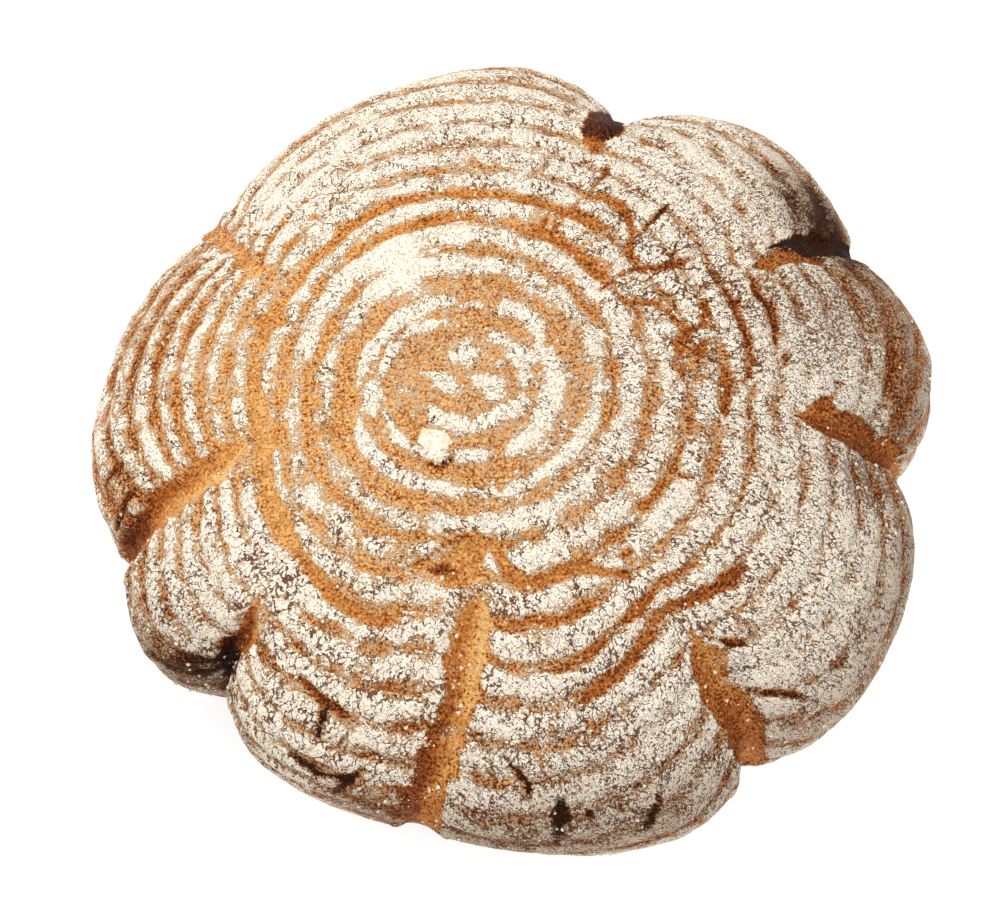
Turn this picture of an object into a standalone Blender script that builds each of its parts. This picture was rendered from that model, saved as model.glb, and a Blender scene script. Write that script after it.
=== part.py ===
"""Round country loaf that proved in a coiled cane basket and was cut eight times round its edge.

The loaf stands on +Z, with its origin under the middle of its outline, at its foot. Each cut opened in
the oven, so the edge swelled into eight puffed lobes with a valley between each two. The crown stands a
little off centre. The whole loaf is one closed solid, made from a sphere whose rows and columns are laid
over the dome, round the widest line, under the edge and across the flat base.
"""

import math
from dataclasses import dataclass

import bmesh
import bpy
import numpy as np

# Driving dimensions, in metres.
LOAF_WIDTH = 0.234        # across the lobes, along X
LOAF_HEIGHT = 0.0765      # from the flat base to the crown
WAIST_HEIGHT = 0.032      # the widest line above the base
FOOT_INSET = 0.020        # how far the base stands in from the widest line
CROWN_X = -0.020          # the crown, from the middle of the widest line
CROWN_Y = -0.0065

# How a lobe rises out of its valley, and how a valley opens along its length.
PUFF_SIDE = 1.55          # more is a steeper side
PUFF_TOP = 1.75           # more is a flatter top
FLOOR_SHARE = 0.10        # the part of a lobe's half width that is valley floor
FIRST_OPENING = 0.45      # the part of a valley's depth that it reaches near its start
FIRST_RISE = 0.18         # how far along the dome it takes to reach that
FOOT_FADE = 0.35          # the part of a valley's depth that is gone at the base
LEVELLING = 0.6           # how early a valley's side turns from upright to level towards the widest line

# Rows and columns of the sphere that becomes the loaf.
COLUMNS_PER_LOBE = 12
COLUMN_CROWDING = 0.5     # 0 spaces columns evenly, and nearly 1 crowds them into the valleys
DOME_ROWS = 30            # from the crown to the widest line
EDGE_ROWS = 12            # from the widest line to the base
BASE_ROWS = 6             # from the base's edge to its middle

# Row steps along the loaf's skin.
CROWN_STEP = 0.0
WAIST_STEP = 1.0
FOOT_STEP = 2.0
MIDDLE_STEP = 3.0

CRUST_COLOUR = (0.60, 0.36, 0.17, 1.0)
CRUST_ROUGHNESS = 0.85


@dataclass(frozen=True)
class Cut:
    """A cut across the edge, and the lobe between it and the cut of lower azimuth."""

    azimuth: float    # degrees round from +X, where the valley crosses the widest line
    start: float      # the row step at which the valley begins
    depth: float      # metres that the valley lies below its lobes at the widest line
    drift: float      # degrees that the valley has turned by where it begins
    reach: float      # metres from the middle to the outside of the lobe
    crest: float      # where the lobe is fullest, as a share of the way from the cut before to this one


# In order of rising azimuth, from the right round by the back, the left and the front.
CUTS = (
    Cut(azimuth=32.0, start=0.50, depth=0.0070, drift=2.5, reach=0.1140, crest=0.61),
    Cut(azimuth=75.0, start=0.51, depth=0.0155, drift=0.0, reach=0.1225, crest=0.61),
    Cut(azimuth=142.5, start=0.43, depth=0.0080, drift=8.0, reach=0.1280, crest=0.31),
    Cut(azimuth=198.5, start=0.36, depth=0.0070, drift=-5.5, reach=0.1240, crest=0.64),
    Cut(azimuth=220.5, start=0.53, depth=0.0130, drift=0.5, reach=0.1215, crest=0.49),
    Cut(azimuth=253.0, start=0.24, depth=0.0045, drift=13.0, reach=0.1160, crest=0.33),
    Cut(azimuth=301.5, start=0.50, depth=0.0095, drift=1.0, reach=0.1155, crest=0.69),
    Cut(azimuth=355.0, start=0.50, depth=0.0150, drift=1.0, reach=0.1115, crest=0.31),
)
DRIFT_CURVE = 1.5         # 1 is a straight valley, and more turns it mostly near its start

FULL_TURN = 2 * math.pi
QUARTER_TURN = math.pi / 2
COLUMNS = COLUMNS_PER_LOBE * len(CUTS)
ROWS = DOME_ROWS + EDGE_ROWS + BASE_ROWS


def smooth_step(x):
    """A curve that leaves 0 and reaches 1 with no slope."""
    x = np.clip(x, 0.0, 1.0)
    return x * x * (3.0 - 2.0 * x)


def turn_between(first, second):
    """The angle from first round to second, always positive."""
    return (second - first) % FULL_TURN


def cut_angle(number):
    """The azimuth of a cut in radians, counting on past the last one."""
    return math.radians(CUTS[number % len(CUTS)].azimuth)


def crest_angle(number):
    """The azimuth in radians at which the lobe before a cut is fullest."""
    gap = turn_between(cut_angle(number - 1), cut_angle(number))
    return cut_angle(number - 1) + gap * CUTS[number % len(CUTS)].crest


def column_azimuths():
    """The azimuth of each column, crowded towards the valleys and with one column on each."""
    angles = []
    for number in range(len(CUTS)):
        gap = turn_between(cut_angle(number), cut_angle(number + 1))
        for column in range(COLUMNS_PER_LOBE):
            share = column / COLUMNS_PER_LOBE
            eased = share - COLUMN_CROWDING * math.sin(FULL_TURN * share) / FULL_TURN
            angles.append(cut_angle(number) + gap * eased)
    return np.array(angles)


def row_steps():
    """The step of each row, from the crown over the waist and the foot to the middle of the base."""
    dome = np.linspace(CROWN_STEP, WAIST_STEP, DOME_ROWS + 1)
    edge = np.linspace(WAIST_STEP, FOOT_STEP, EDGE_ROWS + 1)[1:]
    base = np.linspace(FOOT_STEP, MIDDLE_STEP, BASE_ROWS + 1)[1:]
    return np.concatenate([dome, edge, base])


def outline_reach(azimuth):
    """Metres from the middle to the widest line before the cuts opened, smooth over the lobes' crests."""
    reach = np.zeros_like(azimuth)
    for number, cut in enumerate(CUTS):
        following = CUTS[(number + 1) % len(CUTS)]
        gap = turn_between(crest_angle(number), crest_angle(number + 1))
        along = turn_between(crest_angle(number), azimuth)
        blended = cut.reach + (following.reach - cut.reach) * smooth_step(along / gap)
        reach = np.where(along < gap, blended, reach)
    return reach


def uncut_surface(azimuth, step):
    """Points of the loaf before its cuts opened, for azimuths and row steps of the same shape."""
    reach = outline_reach(azimuth)
    outline = np.stack([reach * np.cos(azimuth), reach * np.sin(azimuth)], axis=-1)
    crown = np.array([CROWN_X, CROWN_Y])
    polar = np.clip(step, CROWN_STEP, WAIST_STEP) * QUARTER_TURN
    on_dome = crown + (outline - crown) * np.sin(polar)[..., None]
    dome_height = WAIST_HEIGHT + (LOAF_HEIGHT - WAIST_HEIGHT) * np.cos(polar)
    under = np.clip(step - WAIST_STEP, 0.0, 1.0) * QUARTER_TURN
    drawn_in = (reach - FOOT_INSET * (1.0 - np.cos(under))) / reach
    across_base = np.clip(MIDDLE_STEP - step, 0.0, 1.0)
    on_edge = outline * (drawn_in * across_base)[..., None]
    edge_height = WAIST_HEIGHT * (1.0 - np.sin(under))
    below = step > WAIST_STEP
    plan = np.where(below[..., None], on_edge, on_dome)
    height = np.where(below, edge_height, dome_height)
    return np.concatenate([plan, height[..., None]], axis=-1)


def sinking_direction(azimuth, step):
    """Unit vectors along which a valley sinks: square to the dome at the crown, and level at the waist."""
    nudge = 1e-3
    step = np.clip(step, CROWN_STEP, WAIST_STEP)
    farther = uncut_surface(azimuth, np.minimum(step + nudge, WAIST_STEP))
    nearer = uncut_surface(azimuth, np.maximum(step - nudge, CROWN_STEP))
    around = uncut_surface(azimuth + nudge, step) - uncut_surface(azimuth - nudge, step)
    normal = np.cross(farther - nearer, around)
    normal[..., 2] *= 1.0 - LEVELLING * step**2
    length = np.linalg.norm(normal, axis=-1, keepdims=True)
    upward = np.array([0.0, 0.0, 1.0])
    return np.where(length > 1e-12, normal / np.maximum(length, 1e-12), upward)


def valley_depth(azimuth, step):
    """Metres that the opened cuts lower the surface."""
    depth = np.zeros_like(azimuth)
    step = np.minimum(step, FOOT_STEP)
    for number, cut in enumerate(CUTS):
        inwards = np.clip((WAIST_STEP - step) / (WAIST_STEP - cut.start), 0.0, 1.0)
        line = cut_angle(number) + math.radians(cut.drift) * inwards**DRIFT_CURVE
        offset = (azimuth - line + math.pi) % FULL_TURN - math.pi
        to_lobe_before = turn_between(crest_angle(number), cut_angle(number))
        to_lobe_after = turn_between(cut_angle(number), crest_angle(number + 1))
        share = np.abs(offset) / np.where(offset > 0, to_lobe_after, to_lobe_before)
        climb = np.clip((share - FLOOR_SHARE) / (1.0 - FLOOR_SHARE), 0.0, 1.0)
        across = 1.0 - (1.0 - (1.0 - climb) ** PUFF_TOP) ** (1.0 / PUFF_SIDE)
        first = smooth_step((step - cut.start) / FIRST_RISE)
        later = smooth_step((step - cut.start) / (WAIST_STEP - cut.start))
        opening = FIRST_OPENING * first + (1.0 - FIRST_OPENING) * later
        depth = np.maximum(depth, cut.depth * opening * across)
    return depth


def loaf_surface(azimuth, step):
    """Points of the finished loaf, with its base flat at height 0."""
    towards_foot = np.clip(step - WAIST_STEP, 0.0, 1.0)
    across_base = np.clip(MIDDLE_STEP - step, 0.0, 1.0)
    carved = valley_depth(azimuth, step) * (1.0 - FOOT_FADE * towards_foot) * across_base
    points = uncut_surface(azimuth, step) - sinking_direction(azimuth, step) * carved[..., None]
    points[..., 2] = np.maximum(points[..., 2], 0.0)
    return points


def crust_material():
    """A matt, floured brown crust."""
    material = bpy.data.materials.new("crust")
    material.use_nodes = True
    shader = material.node_tree.nodes["Principled BSDF"]
    shader.inputs["Base Color"].default_value = CRUST_COLOUR
    shader.inputs["Roughness"].default_value = CRUST_ROUGHNESS
    shader.inputs["Metallic"].default_value = 0.0
    return material


def sphere_grid(bm):
    """Each vertex's column and row number on a unit sphere that stands on its pole."""
    points = np.array([vertex.co for vertex in bm.verts])
    turn = np.arctan2(points[:, 1], points[:, 0]) / FULL_TURN
    column = np.rint(turn * COLUMNS).astype(int) % COLUMNS
    row = np.rint(np.arccos(np.clip(points[:, 2], -1.0, 1.0)) / math.pi * ROWS).astype(int)
    return column, row


def set_to_width(points):
    """The points centred over the origin and scaled in plan so that the loaf has its driving width."""
    low, high = points.min(axis=0), points.max(axis=0)
    plan = (points[:, :2] - (low[:2] + high[:2]) / 2) * LOAF_WIDTH / (high[0] - low[0])
    return np.column_stack([plan, points[:, 2]])


def build_loaf():
    """The loaf's object: a sphere whose vertices are moved onto the loaf's skin."""
    bm = bmesh.new()
    bmesh.ops.create_uvsphere(bm, u_segments=COLUMNS, v_segments=ROWS, radius=1.0)
    column, row = sphere_grid(bm)
    points = set_to_width(loaf_surface(column_azimuths()[column], row_steps()[row]))
    for vertex, point in zip(bm.verts, points):
        vertex.co = point
    bmesh.ops.recalc_face_normals(bm, faces=bm.faces)
    mesh = bpy.data.meshes.new("loaf")
    bm.to_mesh(mesh)
    bm.free()
    mesh.shade_smooth()
    mesh.materials.append(crust_material())
    return bpy.data.objects.new("loaf", mesh)


def main():
    """Clears the scene and puts the loaf in a collection of its own."""
    for obj in list(bpy.data.objects):
        bpy.data.objects.remove(obj, do_unlink=True)
    collection = bpy.data.collections.new("round_loaf")
    bpy.context.scene.collection.children.link(collection)
    collection.objects.link(build_loaf())


main()
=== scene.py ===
"""Looks of a round country loaf: a floured, ring-marked crust with eight cuts opened round its edge.

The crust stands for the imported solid. Its form follows the same rules as the solid's, worked out from the
frame's box, and carries what is too fine for it: the print of the basket's cane, torn crust, the bare
faces of the cuts, cracks and lumps. Loose flour is mesh scattered over it.
"""
import logging
import math
from dataclasses import dataclass, field
from enum import Enum
from typing import Optional, Sequence, Union

import bmesh
import bpy
import numpy as np
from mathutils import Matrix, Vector, noise


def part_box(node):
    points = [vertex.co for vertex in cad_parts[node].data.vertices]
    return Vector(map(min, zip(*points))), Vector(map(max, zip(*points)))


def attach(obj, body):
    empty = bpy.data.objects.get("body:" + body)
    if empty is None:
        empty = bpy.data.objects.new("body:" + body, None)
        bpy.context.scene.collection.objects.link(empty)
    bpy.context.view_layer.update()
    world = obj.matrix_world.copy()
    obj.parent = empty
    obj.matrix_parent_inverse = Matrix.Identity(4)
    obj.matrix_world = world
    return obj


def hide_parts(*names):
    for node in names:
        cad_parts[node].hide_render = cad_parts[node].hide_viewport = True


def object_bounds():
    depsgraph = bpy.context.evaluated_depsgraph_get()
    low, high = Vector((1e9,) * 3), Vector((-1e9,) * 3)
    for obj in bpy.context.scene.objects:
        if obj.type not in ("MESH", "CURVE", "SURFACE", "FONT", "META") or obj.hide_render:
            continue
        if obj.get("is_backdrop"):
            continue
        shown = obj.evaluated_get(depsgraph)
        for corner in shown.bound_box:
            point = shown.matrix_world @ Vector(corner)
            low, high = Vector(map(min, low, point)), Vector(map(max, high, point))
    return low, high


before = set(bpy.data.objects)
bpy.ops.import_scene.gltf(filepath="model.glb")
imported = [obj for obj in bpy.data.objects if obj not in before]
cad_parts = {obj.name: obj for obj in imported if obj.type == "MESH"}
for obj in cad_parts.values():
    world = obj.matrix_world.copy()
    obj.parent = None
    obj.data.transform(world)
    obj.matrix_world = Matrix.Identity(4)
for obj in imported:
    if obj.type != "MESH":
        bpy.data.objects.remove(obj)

LOG = logging.getLogger("round_loaf")
NODE = "loaf"
BODY = "root"

MM = 0.001
FULL_TURN = 2 * math.pi
QUARTER_TURN = math.pi / 2
WAIST_STEP = 1.0
FOOT_STEP = 2.0
MIDDLE_STEP = 3.0
TINY = 1e-12
FLOOR_GAP = 0.2 * MM
MAP_NAME = "OFBake"

Number = Union[float, "Socket"]


def smooth_step(x: np.ndarray) -> np.ndarray:
    """A curve that leaves 0 and reaches 1 with no slope."""
    x = np.clip(x, 0.0, 1.0)
    return x * x * (3.0 - 2.0 * x)


def rise(x: np.ndarray, begin: float, length: float) -> np.ndarray:
    """A smooth step from 0 at begin to 1 a length farther on."""
    return smooth_step((x - begin) / length)


def turn_between(first: float, second: Union[float, np.ndarray]) -> Union[float, np.ndarray]:
    """The angle from first round to second, always positive."""
    return (second - first) % FULL_TURN


def signed_turn(angle: np.ndarray) -> np.ndarray:
    """The same angle between minus and plus half a turn."""
    return (angle + math.pi) % FULL_TURN - math.pi


def link_object(name: str, data: bpy.types.ID) -> bpy.types.Object:
    """Puts a mesh, light or camera into the scene as an object at the origin.

    Args:
        name: The object's name.
        data: The mesh, light or camera.

    Returns:
        The object.
    """
    obj = bpy.data.objects.new(name, data)
    bpy.context.scene.collection.objects.link(obj)
    return obj


# --------------------------------------------------------------------------------------------- the form


@dataclass(frozen=True)
class Face:
    """The bare crust that a cut shows, and how the cut bends the rings. Lengths are millimetres.

    The face begins at an arc from the crown and reaches before and after the cut's line. Its groove is sunk
    and its lips stand up. Of the two darkenings, the first is for the whole face: the crust's tone, and
    painted shade in the hollows of the two dark cuts at the back. The second is painted shade added on the
    side before the line, where the cut's wall lies in shade.
    The rings near it are lifted outwards, which dies away over the spread in degrees, and hooked close to
    it. Openness is how bare the face is, and taper the length over which it reaches its full width.
    """

    begins: float
    before: float
    after: float
    groove: float
    lip: float
    bake: float
    edge_shade: float
    lift: float
    spread: float
    hook: float
    openness: float = 1.0
    taper: float = 10.0


@dataclass(frozen=True)
class Cut:
    """A cut across the edge, with the lobe between it and the cut of lower azimuth.

    Azimuth and drift are degrees, start is a row step, depth and reach are metres and crest is a share.
    """

    azimuth: float
    start: float
    depth: float
    drift: float
    reach: float
    crest: float
    face: Face


# Round the loaf by growing azimuth.
CUTS: tuple[Cut, ...] = (
    # The cuts at 32 and 75 degrees have dark faces: painted shade in their hollows.
    Cut(32.0, 0.50, 0.0070, 2.5, 0.1140, 0.61, Face(98, 4.0, 4.6, 0.9, 0.4, 0.42, 0.1, 16, 7, 3, 0.85, 28)),
    Cut(75.0, 0.51, 0.0155, 0.0, 0.1225, 0.61, Face(91, 4.6, 6.0, -0.8, 0.4, 0.32, 0.05, 6, 26, 4)),
    Cut(142.5, 0.43, 0.0080, 8.0, 0.1280, 0.31, Face(67, 2.4, 3.4, 0.4, 0.8, -0.22, 0.1, 20, 12, 9, 0.42)),
    Cut(198.5, 0.36, 0.0070, -5.5, 0.1240, 0.64, Face(60, 4.6, 6.0, 1.3, 0.8, -0.32, 0.32, 38, 20, 6)),
    Cut(220.5, 0.53, 0.0130, 0.5, 0.1215, 0.49, Face(76, 2.4, 4.2, 1.6, 0.6, -0.28, 0.35, 17, 20, 6)),
    Cut(253.0, 0.24, 0.0045, 13.0, 0.1160, 0.33, Face(56, 4.8, 5.6, 1.1, 0.6, -0.39, 0.38, 4, 6, 5)),
    Cut(301.5, 0.50, 0.0095, 1.0, 0.1155, 0.69, Face(87, 6.0, 3.4, 1.8, 0.8, -0.34, 0.15, 29, 13, 4)),
    Cut(355.0, 0.50, 0.0150, 1.0, 0.1115, 0.31, Face(88, 5.4, 4.2, 1.4, 0.6, -0.18, 0.12, 33, 23, 4)),
)


@dataclass(frozen=True)
class LoafForm:
    """The loaf's skin as a function of azimuth and row step: 0 crown, 1 waist, 2 foot, 3 base middle."""

    height: float
    waist_height: float = 0.032
    foot_inset: float = 0.020
    crown_x: float = -0.020
    crown_y: float = -0.0065
    puff_side: float = 1.55
    puff_top: float = 1.75
    floor_share: float = 0.10
    first_opening: float = 0.45
    first_rise: float = 0.18
    foot_fade: float = 0.35
    levelling: float = 0.6
    drift_curve: float = 1.5
    cuts: tuple[Cut, ...] = CUTS

    def cut_angle(self, number: int) -> float:
        """The azimuth of a cut in radians, counting on past the last one."""
        return math.radians(self.cuts[number % len(self.cuts)].azimuth)

    def crest_angle(self, number: int) -> float:
        """The azimuth in radians at which the lobe before a cut is fullest."""
        gap = turn_between(self.cut_angle(number - 1), self.cut_angle(number))
        return self.cut_angle(number - 1) + gap * self.cuts[number % len(self.cuts)].crest

    def outline_reach(self, azimuth: np.ndarray) -> np.ndarray:
        """Metres from the middle to the widest line before the cuts opened.

        Args:
            azimuth: Angles in radians.

        Returns:
            A smooth ring that passes over the crest of each lobe.
        """
        reach = np.zeros_like(azimuth)
        for number, cut in enumerate(self.cuts):
            following = self.cuts[(number + 1) % len(self.cuts)]
            gap = turn_between(self.crest_angle(number), self.crest_angle(number + 1))
            along = turn_between(self.crest_angle(number), azimuth)
            blended = cut.reach + (following.reach - cut.reach) * smooth_step(along / gap)
            reach = np.where(along < gap, blended, reach)
        return reach

    def uncut(self, azimuth: np.ndarray, step: np.ndarray) -> np.ndarray:
        """Points of the loaf before its cuts opened.

        Args:
            azimuth: Angles in radians.
            step: Row steps of the same shape.

        Returns:
            Points in metres, with one more axis of length 3.
        """
        reach = self.outline_reach(azimuth)
        outline = np.stack([reach * np.cos(azimuth), reach * np.sin(azimuth)], axis=-1)
        crown = np.array([self.crown_x, self.crown_y])
        polar = np.clip(step, 0.0, WAIST_STEP) * QUARTER_TURN
        on_dome = crown + (outline - crown) * np.sin(polar)[..., None]
        dome_height = self.waist_height + (self.height - self.waist_height) * np.cos(polar)
        under = np.clip(step - WAIST_STEP, 0.0, 1.0) * QUARTER_TURN
        drawn_in = (reach - self.foot_inset * (1.0 - np.cos(under))) / reach
        across_base = np.clip(MIDDLE_STEP - step, 0.0, 1.0)
        on_edge = outline * (drawn_in * across_base)[..., None]
        edge_height = self.waist_height * (1.0 - np.sin(under))
        below = step > WAIST_STEP
        plan = np.where(below[..., None], on_edge, on_dome)
        return np.concatenate([plan, np.where(below, edge_height, dome_height)[..., None]], axis=-1)

    def sinking_direction(self, azimuth: np.ndarray, step: np.ndarray) -> np.ndarray:
        """Unit vectors along which a valley sinks: square to the dome at the crown, level at the waist.

        Args:
            azimuth: Angles in radians.
            step: Row steps of the same shape.

        Returns:
            Vectors that point outwards.
        """
        nudge = 1e-3
        step = np.clip(step, 0.0, WAIST_STEP)
        farther = self.uncut(azimuth, np.minimum(step + nudge, WAIST_STEP))
        nearer = self.uncut(azimuth, np.maximum(step - nudge, 0.0))
        around = self.uncut(azimuth + nudge, step) - self.uncut(azimuth - nudge, step)
        normal = np.cross(farther - nearer, around)
        normal[..., 2] *= 1.0 - self.levelling * step**2
        length = np.linalg.norm(normal, axis=-1, keepdims=True)
        return np.where(length > TINY, normal / np.maximum(length, TINY), np.array([0.0, 0.0, 1.0]))

    def cut_offset(self, number: int, azimuth: np.ndarray, step: np.ndarray) -> np.ndarray:
        """The angle in radians from the line of a cut, positive towards higher azimuth.

        Args:
            number: The cut's place among the cuts.
            azimuth: Angles in radians.
            step: Row steps of the same shape.

        Returns:
            Angles between minus and plus half a turn.
        """
        cut = self.cuts[number]
        inwards = np.clip((WAIST_STEP - step) / (WAIST_STEP - cut.start), 0.0, 1.0)
        line = self.cut_angle(number) + math.radians(cut.drift) * inwards**self.drift_curve
        return signed_turn(azimuth - line)

    def valley_depth(self, azimuth: np.ndarray, step: np.ndarray) -> np.ndarray:
        """Metres that the opened cuts lower the surface.

        Args:
            azimuth: Angles in radians.
            step: Row steps of the same shape.

        Returns:
            Depths, 0 on the lobes' crests.
        """
        depth = np.zeros_like(azimuth)
        step = np.minimum(step, FOOT_STEP)
        for number, cut in enumerate(self.cuts):
            offset = self.cut_offset(number, azimuth, step)
            before = turn_between(self.crest_angle(number), self.cut_angle(number))
            after = turn_between(self.cut_angle(number), self.crest_angle(number + 1))
            share = np.abs(offset) / np.where(offset > 0, after, before)
            climb = np.clip((share - self.floor_share) / (1.0 - self.floor_share), 0.0, 1.0)
            across = 1.0 - (1.0 - (1.0 - climb) ** self.puff_top) ** (1.0 / self.puff_side)
            first = rise(step, cut.start, self.first_rise)
            later = rise(step, cut.start, WAIST_STEP - cut.start)
            opening = self.first_opening * first + (1.0 - self.first_opening) * later
            depth = np.maximum(depth, cut.depth * opening * across)
        return depth

    def surface(self, azimuth: np.ndarray, step: np.ndarray, raised: np.ndarray) -> np.ndarray:
        """Points of the opened loaf, with its base flat at height 0.

        Args:
            azimuth: Angles in radians.
            step: Row steps of the same shape.
            raised: Metres by which fine relief stands out of the skin.

        Returns:
            Points in metres, with one more axis of length 3.
        """
        towards_foot = np.clip(step - WAIST_STEP, 0.0, 1.0)
        across_base = np.clip(MIDDLE_STEP - step, 0.0, 1.0)
        carved = self.valley_depth(azimuth, step) * (1.0 - self.foot_fade * towards_foot) * across_base
        shift = (raised - carved)[..., None]
        points = self.uncut(azimuth, step) + self.sinking_direction(azimuth, step) * shift
        points[..., 2] = np.maximum(points[..., 2], 0.0)
        return points


# ------------------------------------------------------------------------------------ marks on the skin


@dataclass(frozen=True)
class CaneRings:
    """The print of the basket's coiled cane, as ring turns counted outwards from the crown.

    Tightening is the turns added at the tightening arc. Hook spread is degrees.
    """

    pitch: float = 9.33 * MM
    tightening: float = -1.03
    tightening_arc: float = 100.0 * MM
    offset: float = 0.40
    sideways: float = 0.09
    backwards: float = -0.26
    lift_rise: float = 70.0 * MM
    hook_spread: float = 3.5
    lift_lead: float = 25.0 * MM
    start_arc: float = 166.0 * MM

    def turns(
        self, form: LoafForm, azimuth: np.ndarray, step: np.ndarray, arc: np.ndarray
    ) -> np.ndarray:
        """Ring turns at each point: whole numbers lie along the middle of the flour stripes.

        Args:
            form: The loaf's form, whose cuts pull the rings towards the crown.
            azimuth: Angles in radians, counted on past a full turn where needed.
            step: Row steps.
            arc: Metres along the skin from the crown.

        Returns:
            Turns, which grow outwards and fall by one in each turn round the crown.
        """
        pulled = arc.copy()
        for number, cut in enumerate(form.cuts):
            offset = np.degrees(np.abs(form.cut_offset(number, azimuth, step)))
            begin = self.start_arc * cut.start - self.lift_lead
            ramp = rise(arc, begin, self.lift_rise)
            bent = cut.face.lift * np.exp(-offset / cut.face.spread)
            pulled += (bent + cut.face.hook * np.exp(-offset / self.hook_spread)) * MM * ramp
        outward = pulled / self.pitch + self.tightening * (pulled / self.tightening_arc) ** 2
        askew = self.sideways * np.cos(azimuth) + self.backwards * np.sin(azimuth)
        return outward - azimuth / FULL_TURN + self.offset + askew


class Mark(Enum):
    """What a patch changes on the skin. RINGS is turns by which the rings are pushed inwards.
    The toast and bake marks hold painted shade as well as the crust's own toasting and baking.
    """

    RINGS = "rings"
    FLOUR = "flour"
    STRIPE = "stripe"
    CRACKLE = "crackle"
    PLATES = "plates"
    PEPPER = "pepper"
    TOAST = "toast"
    BAKE = "bake"
    CRUMBS = "crumbs"


@dataclass(frozen=True)
class Patch:
    """A soft-edged patch of the skin that has more or less of a mark than the rest.

    Azimuth and spread are degrees, and arc and length are millimetres along the skin from the crown.
    """

    azimuth: float
    arc: float
    spread: float
    length: float
    amount: float

    def weight(self, azimuth: np.ndarray, arc: np.ndarray) -> np.ndarray:
        """What the patch adds at each point.

        Args:
            azimuth: Angles in radians.
            arc: Metres along the skin from the crown.

        Returns:
            The whole amount in its middle, and less outwards.
        """
        across = np.degrees(signed_turn(azimuth - math.radians(self.azimuth))) / self.spread
        along = (arc / MM - self.arc) / self.length
        return self.amount * np.exp(-(across**2 + along**2))


@dataclass(frozen=True)
class Cloud:
    """Smooth noise whose lumps are of a size in millimetres, with a seed and a strength either way."""

    size: float
    seed: float
    strength: float

    def over(self, points: np.ndarray) -> np.ndarray:
        """The noise at each point.

        Args:
            points: Points in metres.

        Returns:
            A value for each point, about 0.
        """
        flat = points.reshape(-1, 3) / (self.size * MM) + self.seed
        values = [noise.noise(Vector(point)) for point in flat]
        return np.array(values).reshape(points.shape[:-1]) * self.strength


def cloudy(points: np.ndarray, clouds: Sequence[Cloud]) -> np.ndarray:
    """The sum of some clouds at each point."""
    return sum(cloud.over(points) for cloud in clouds)


# What the whole skin has of each mark, before its patches.
LEVELS: dict[Mark, float] = {
    Mark.FLOUR: 0.10,
    Mark.STRIPE: 0.76,
    Mark.CRACKLE: 0.42,
    Mark.PLATES: 0.2,
    Mark.PEPPER: 0.42,
    Mark.BAKE: 0.36,
    Mark.CRUMBS: 1.0,
}

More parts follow.
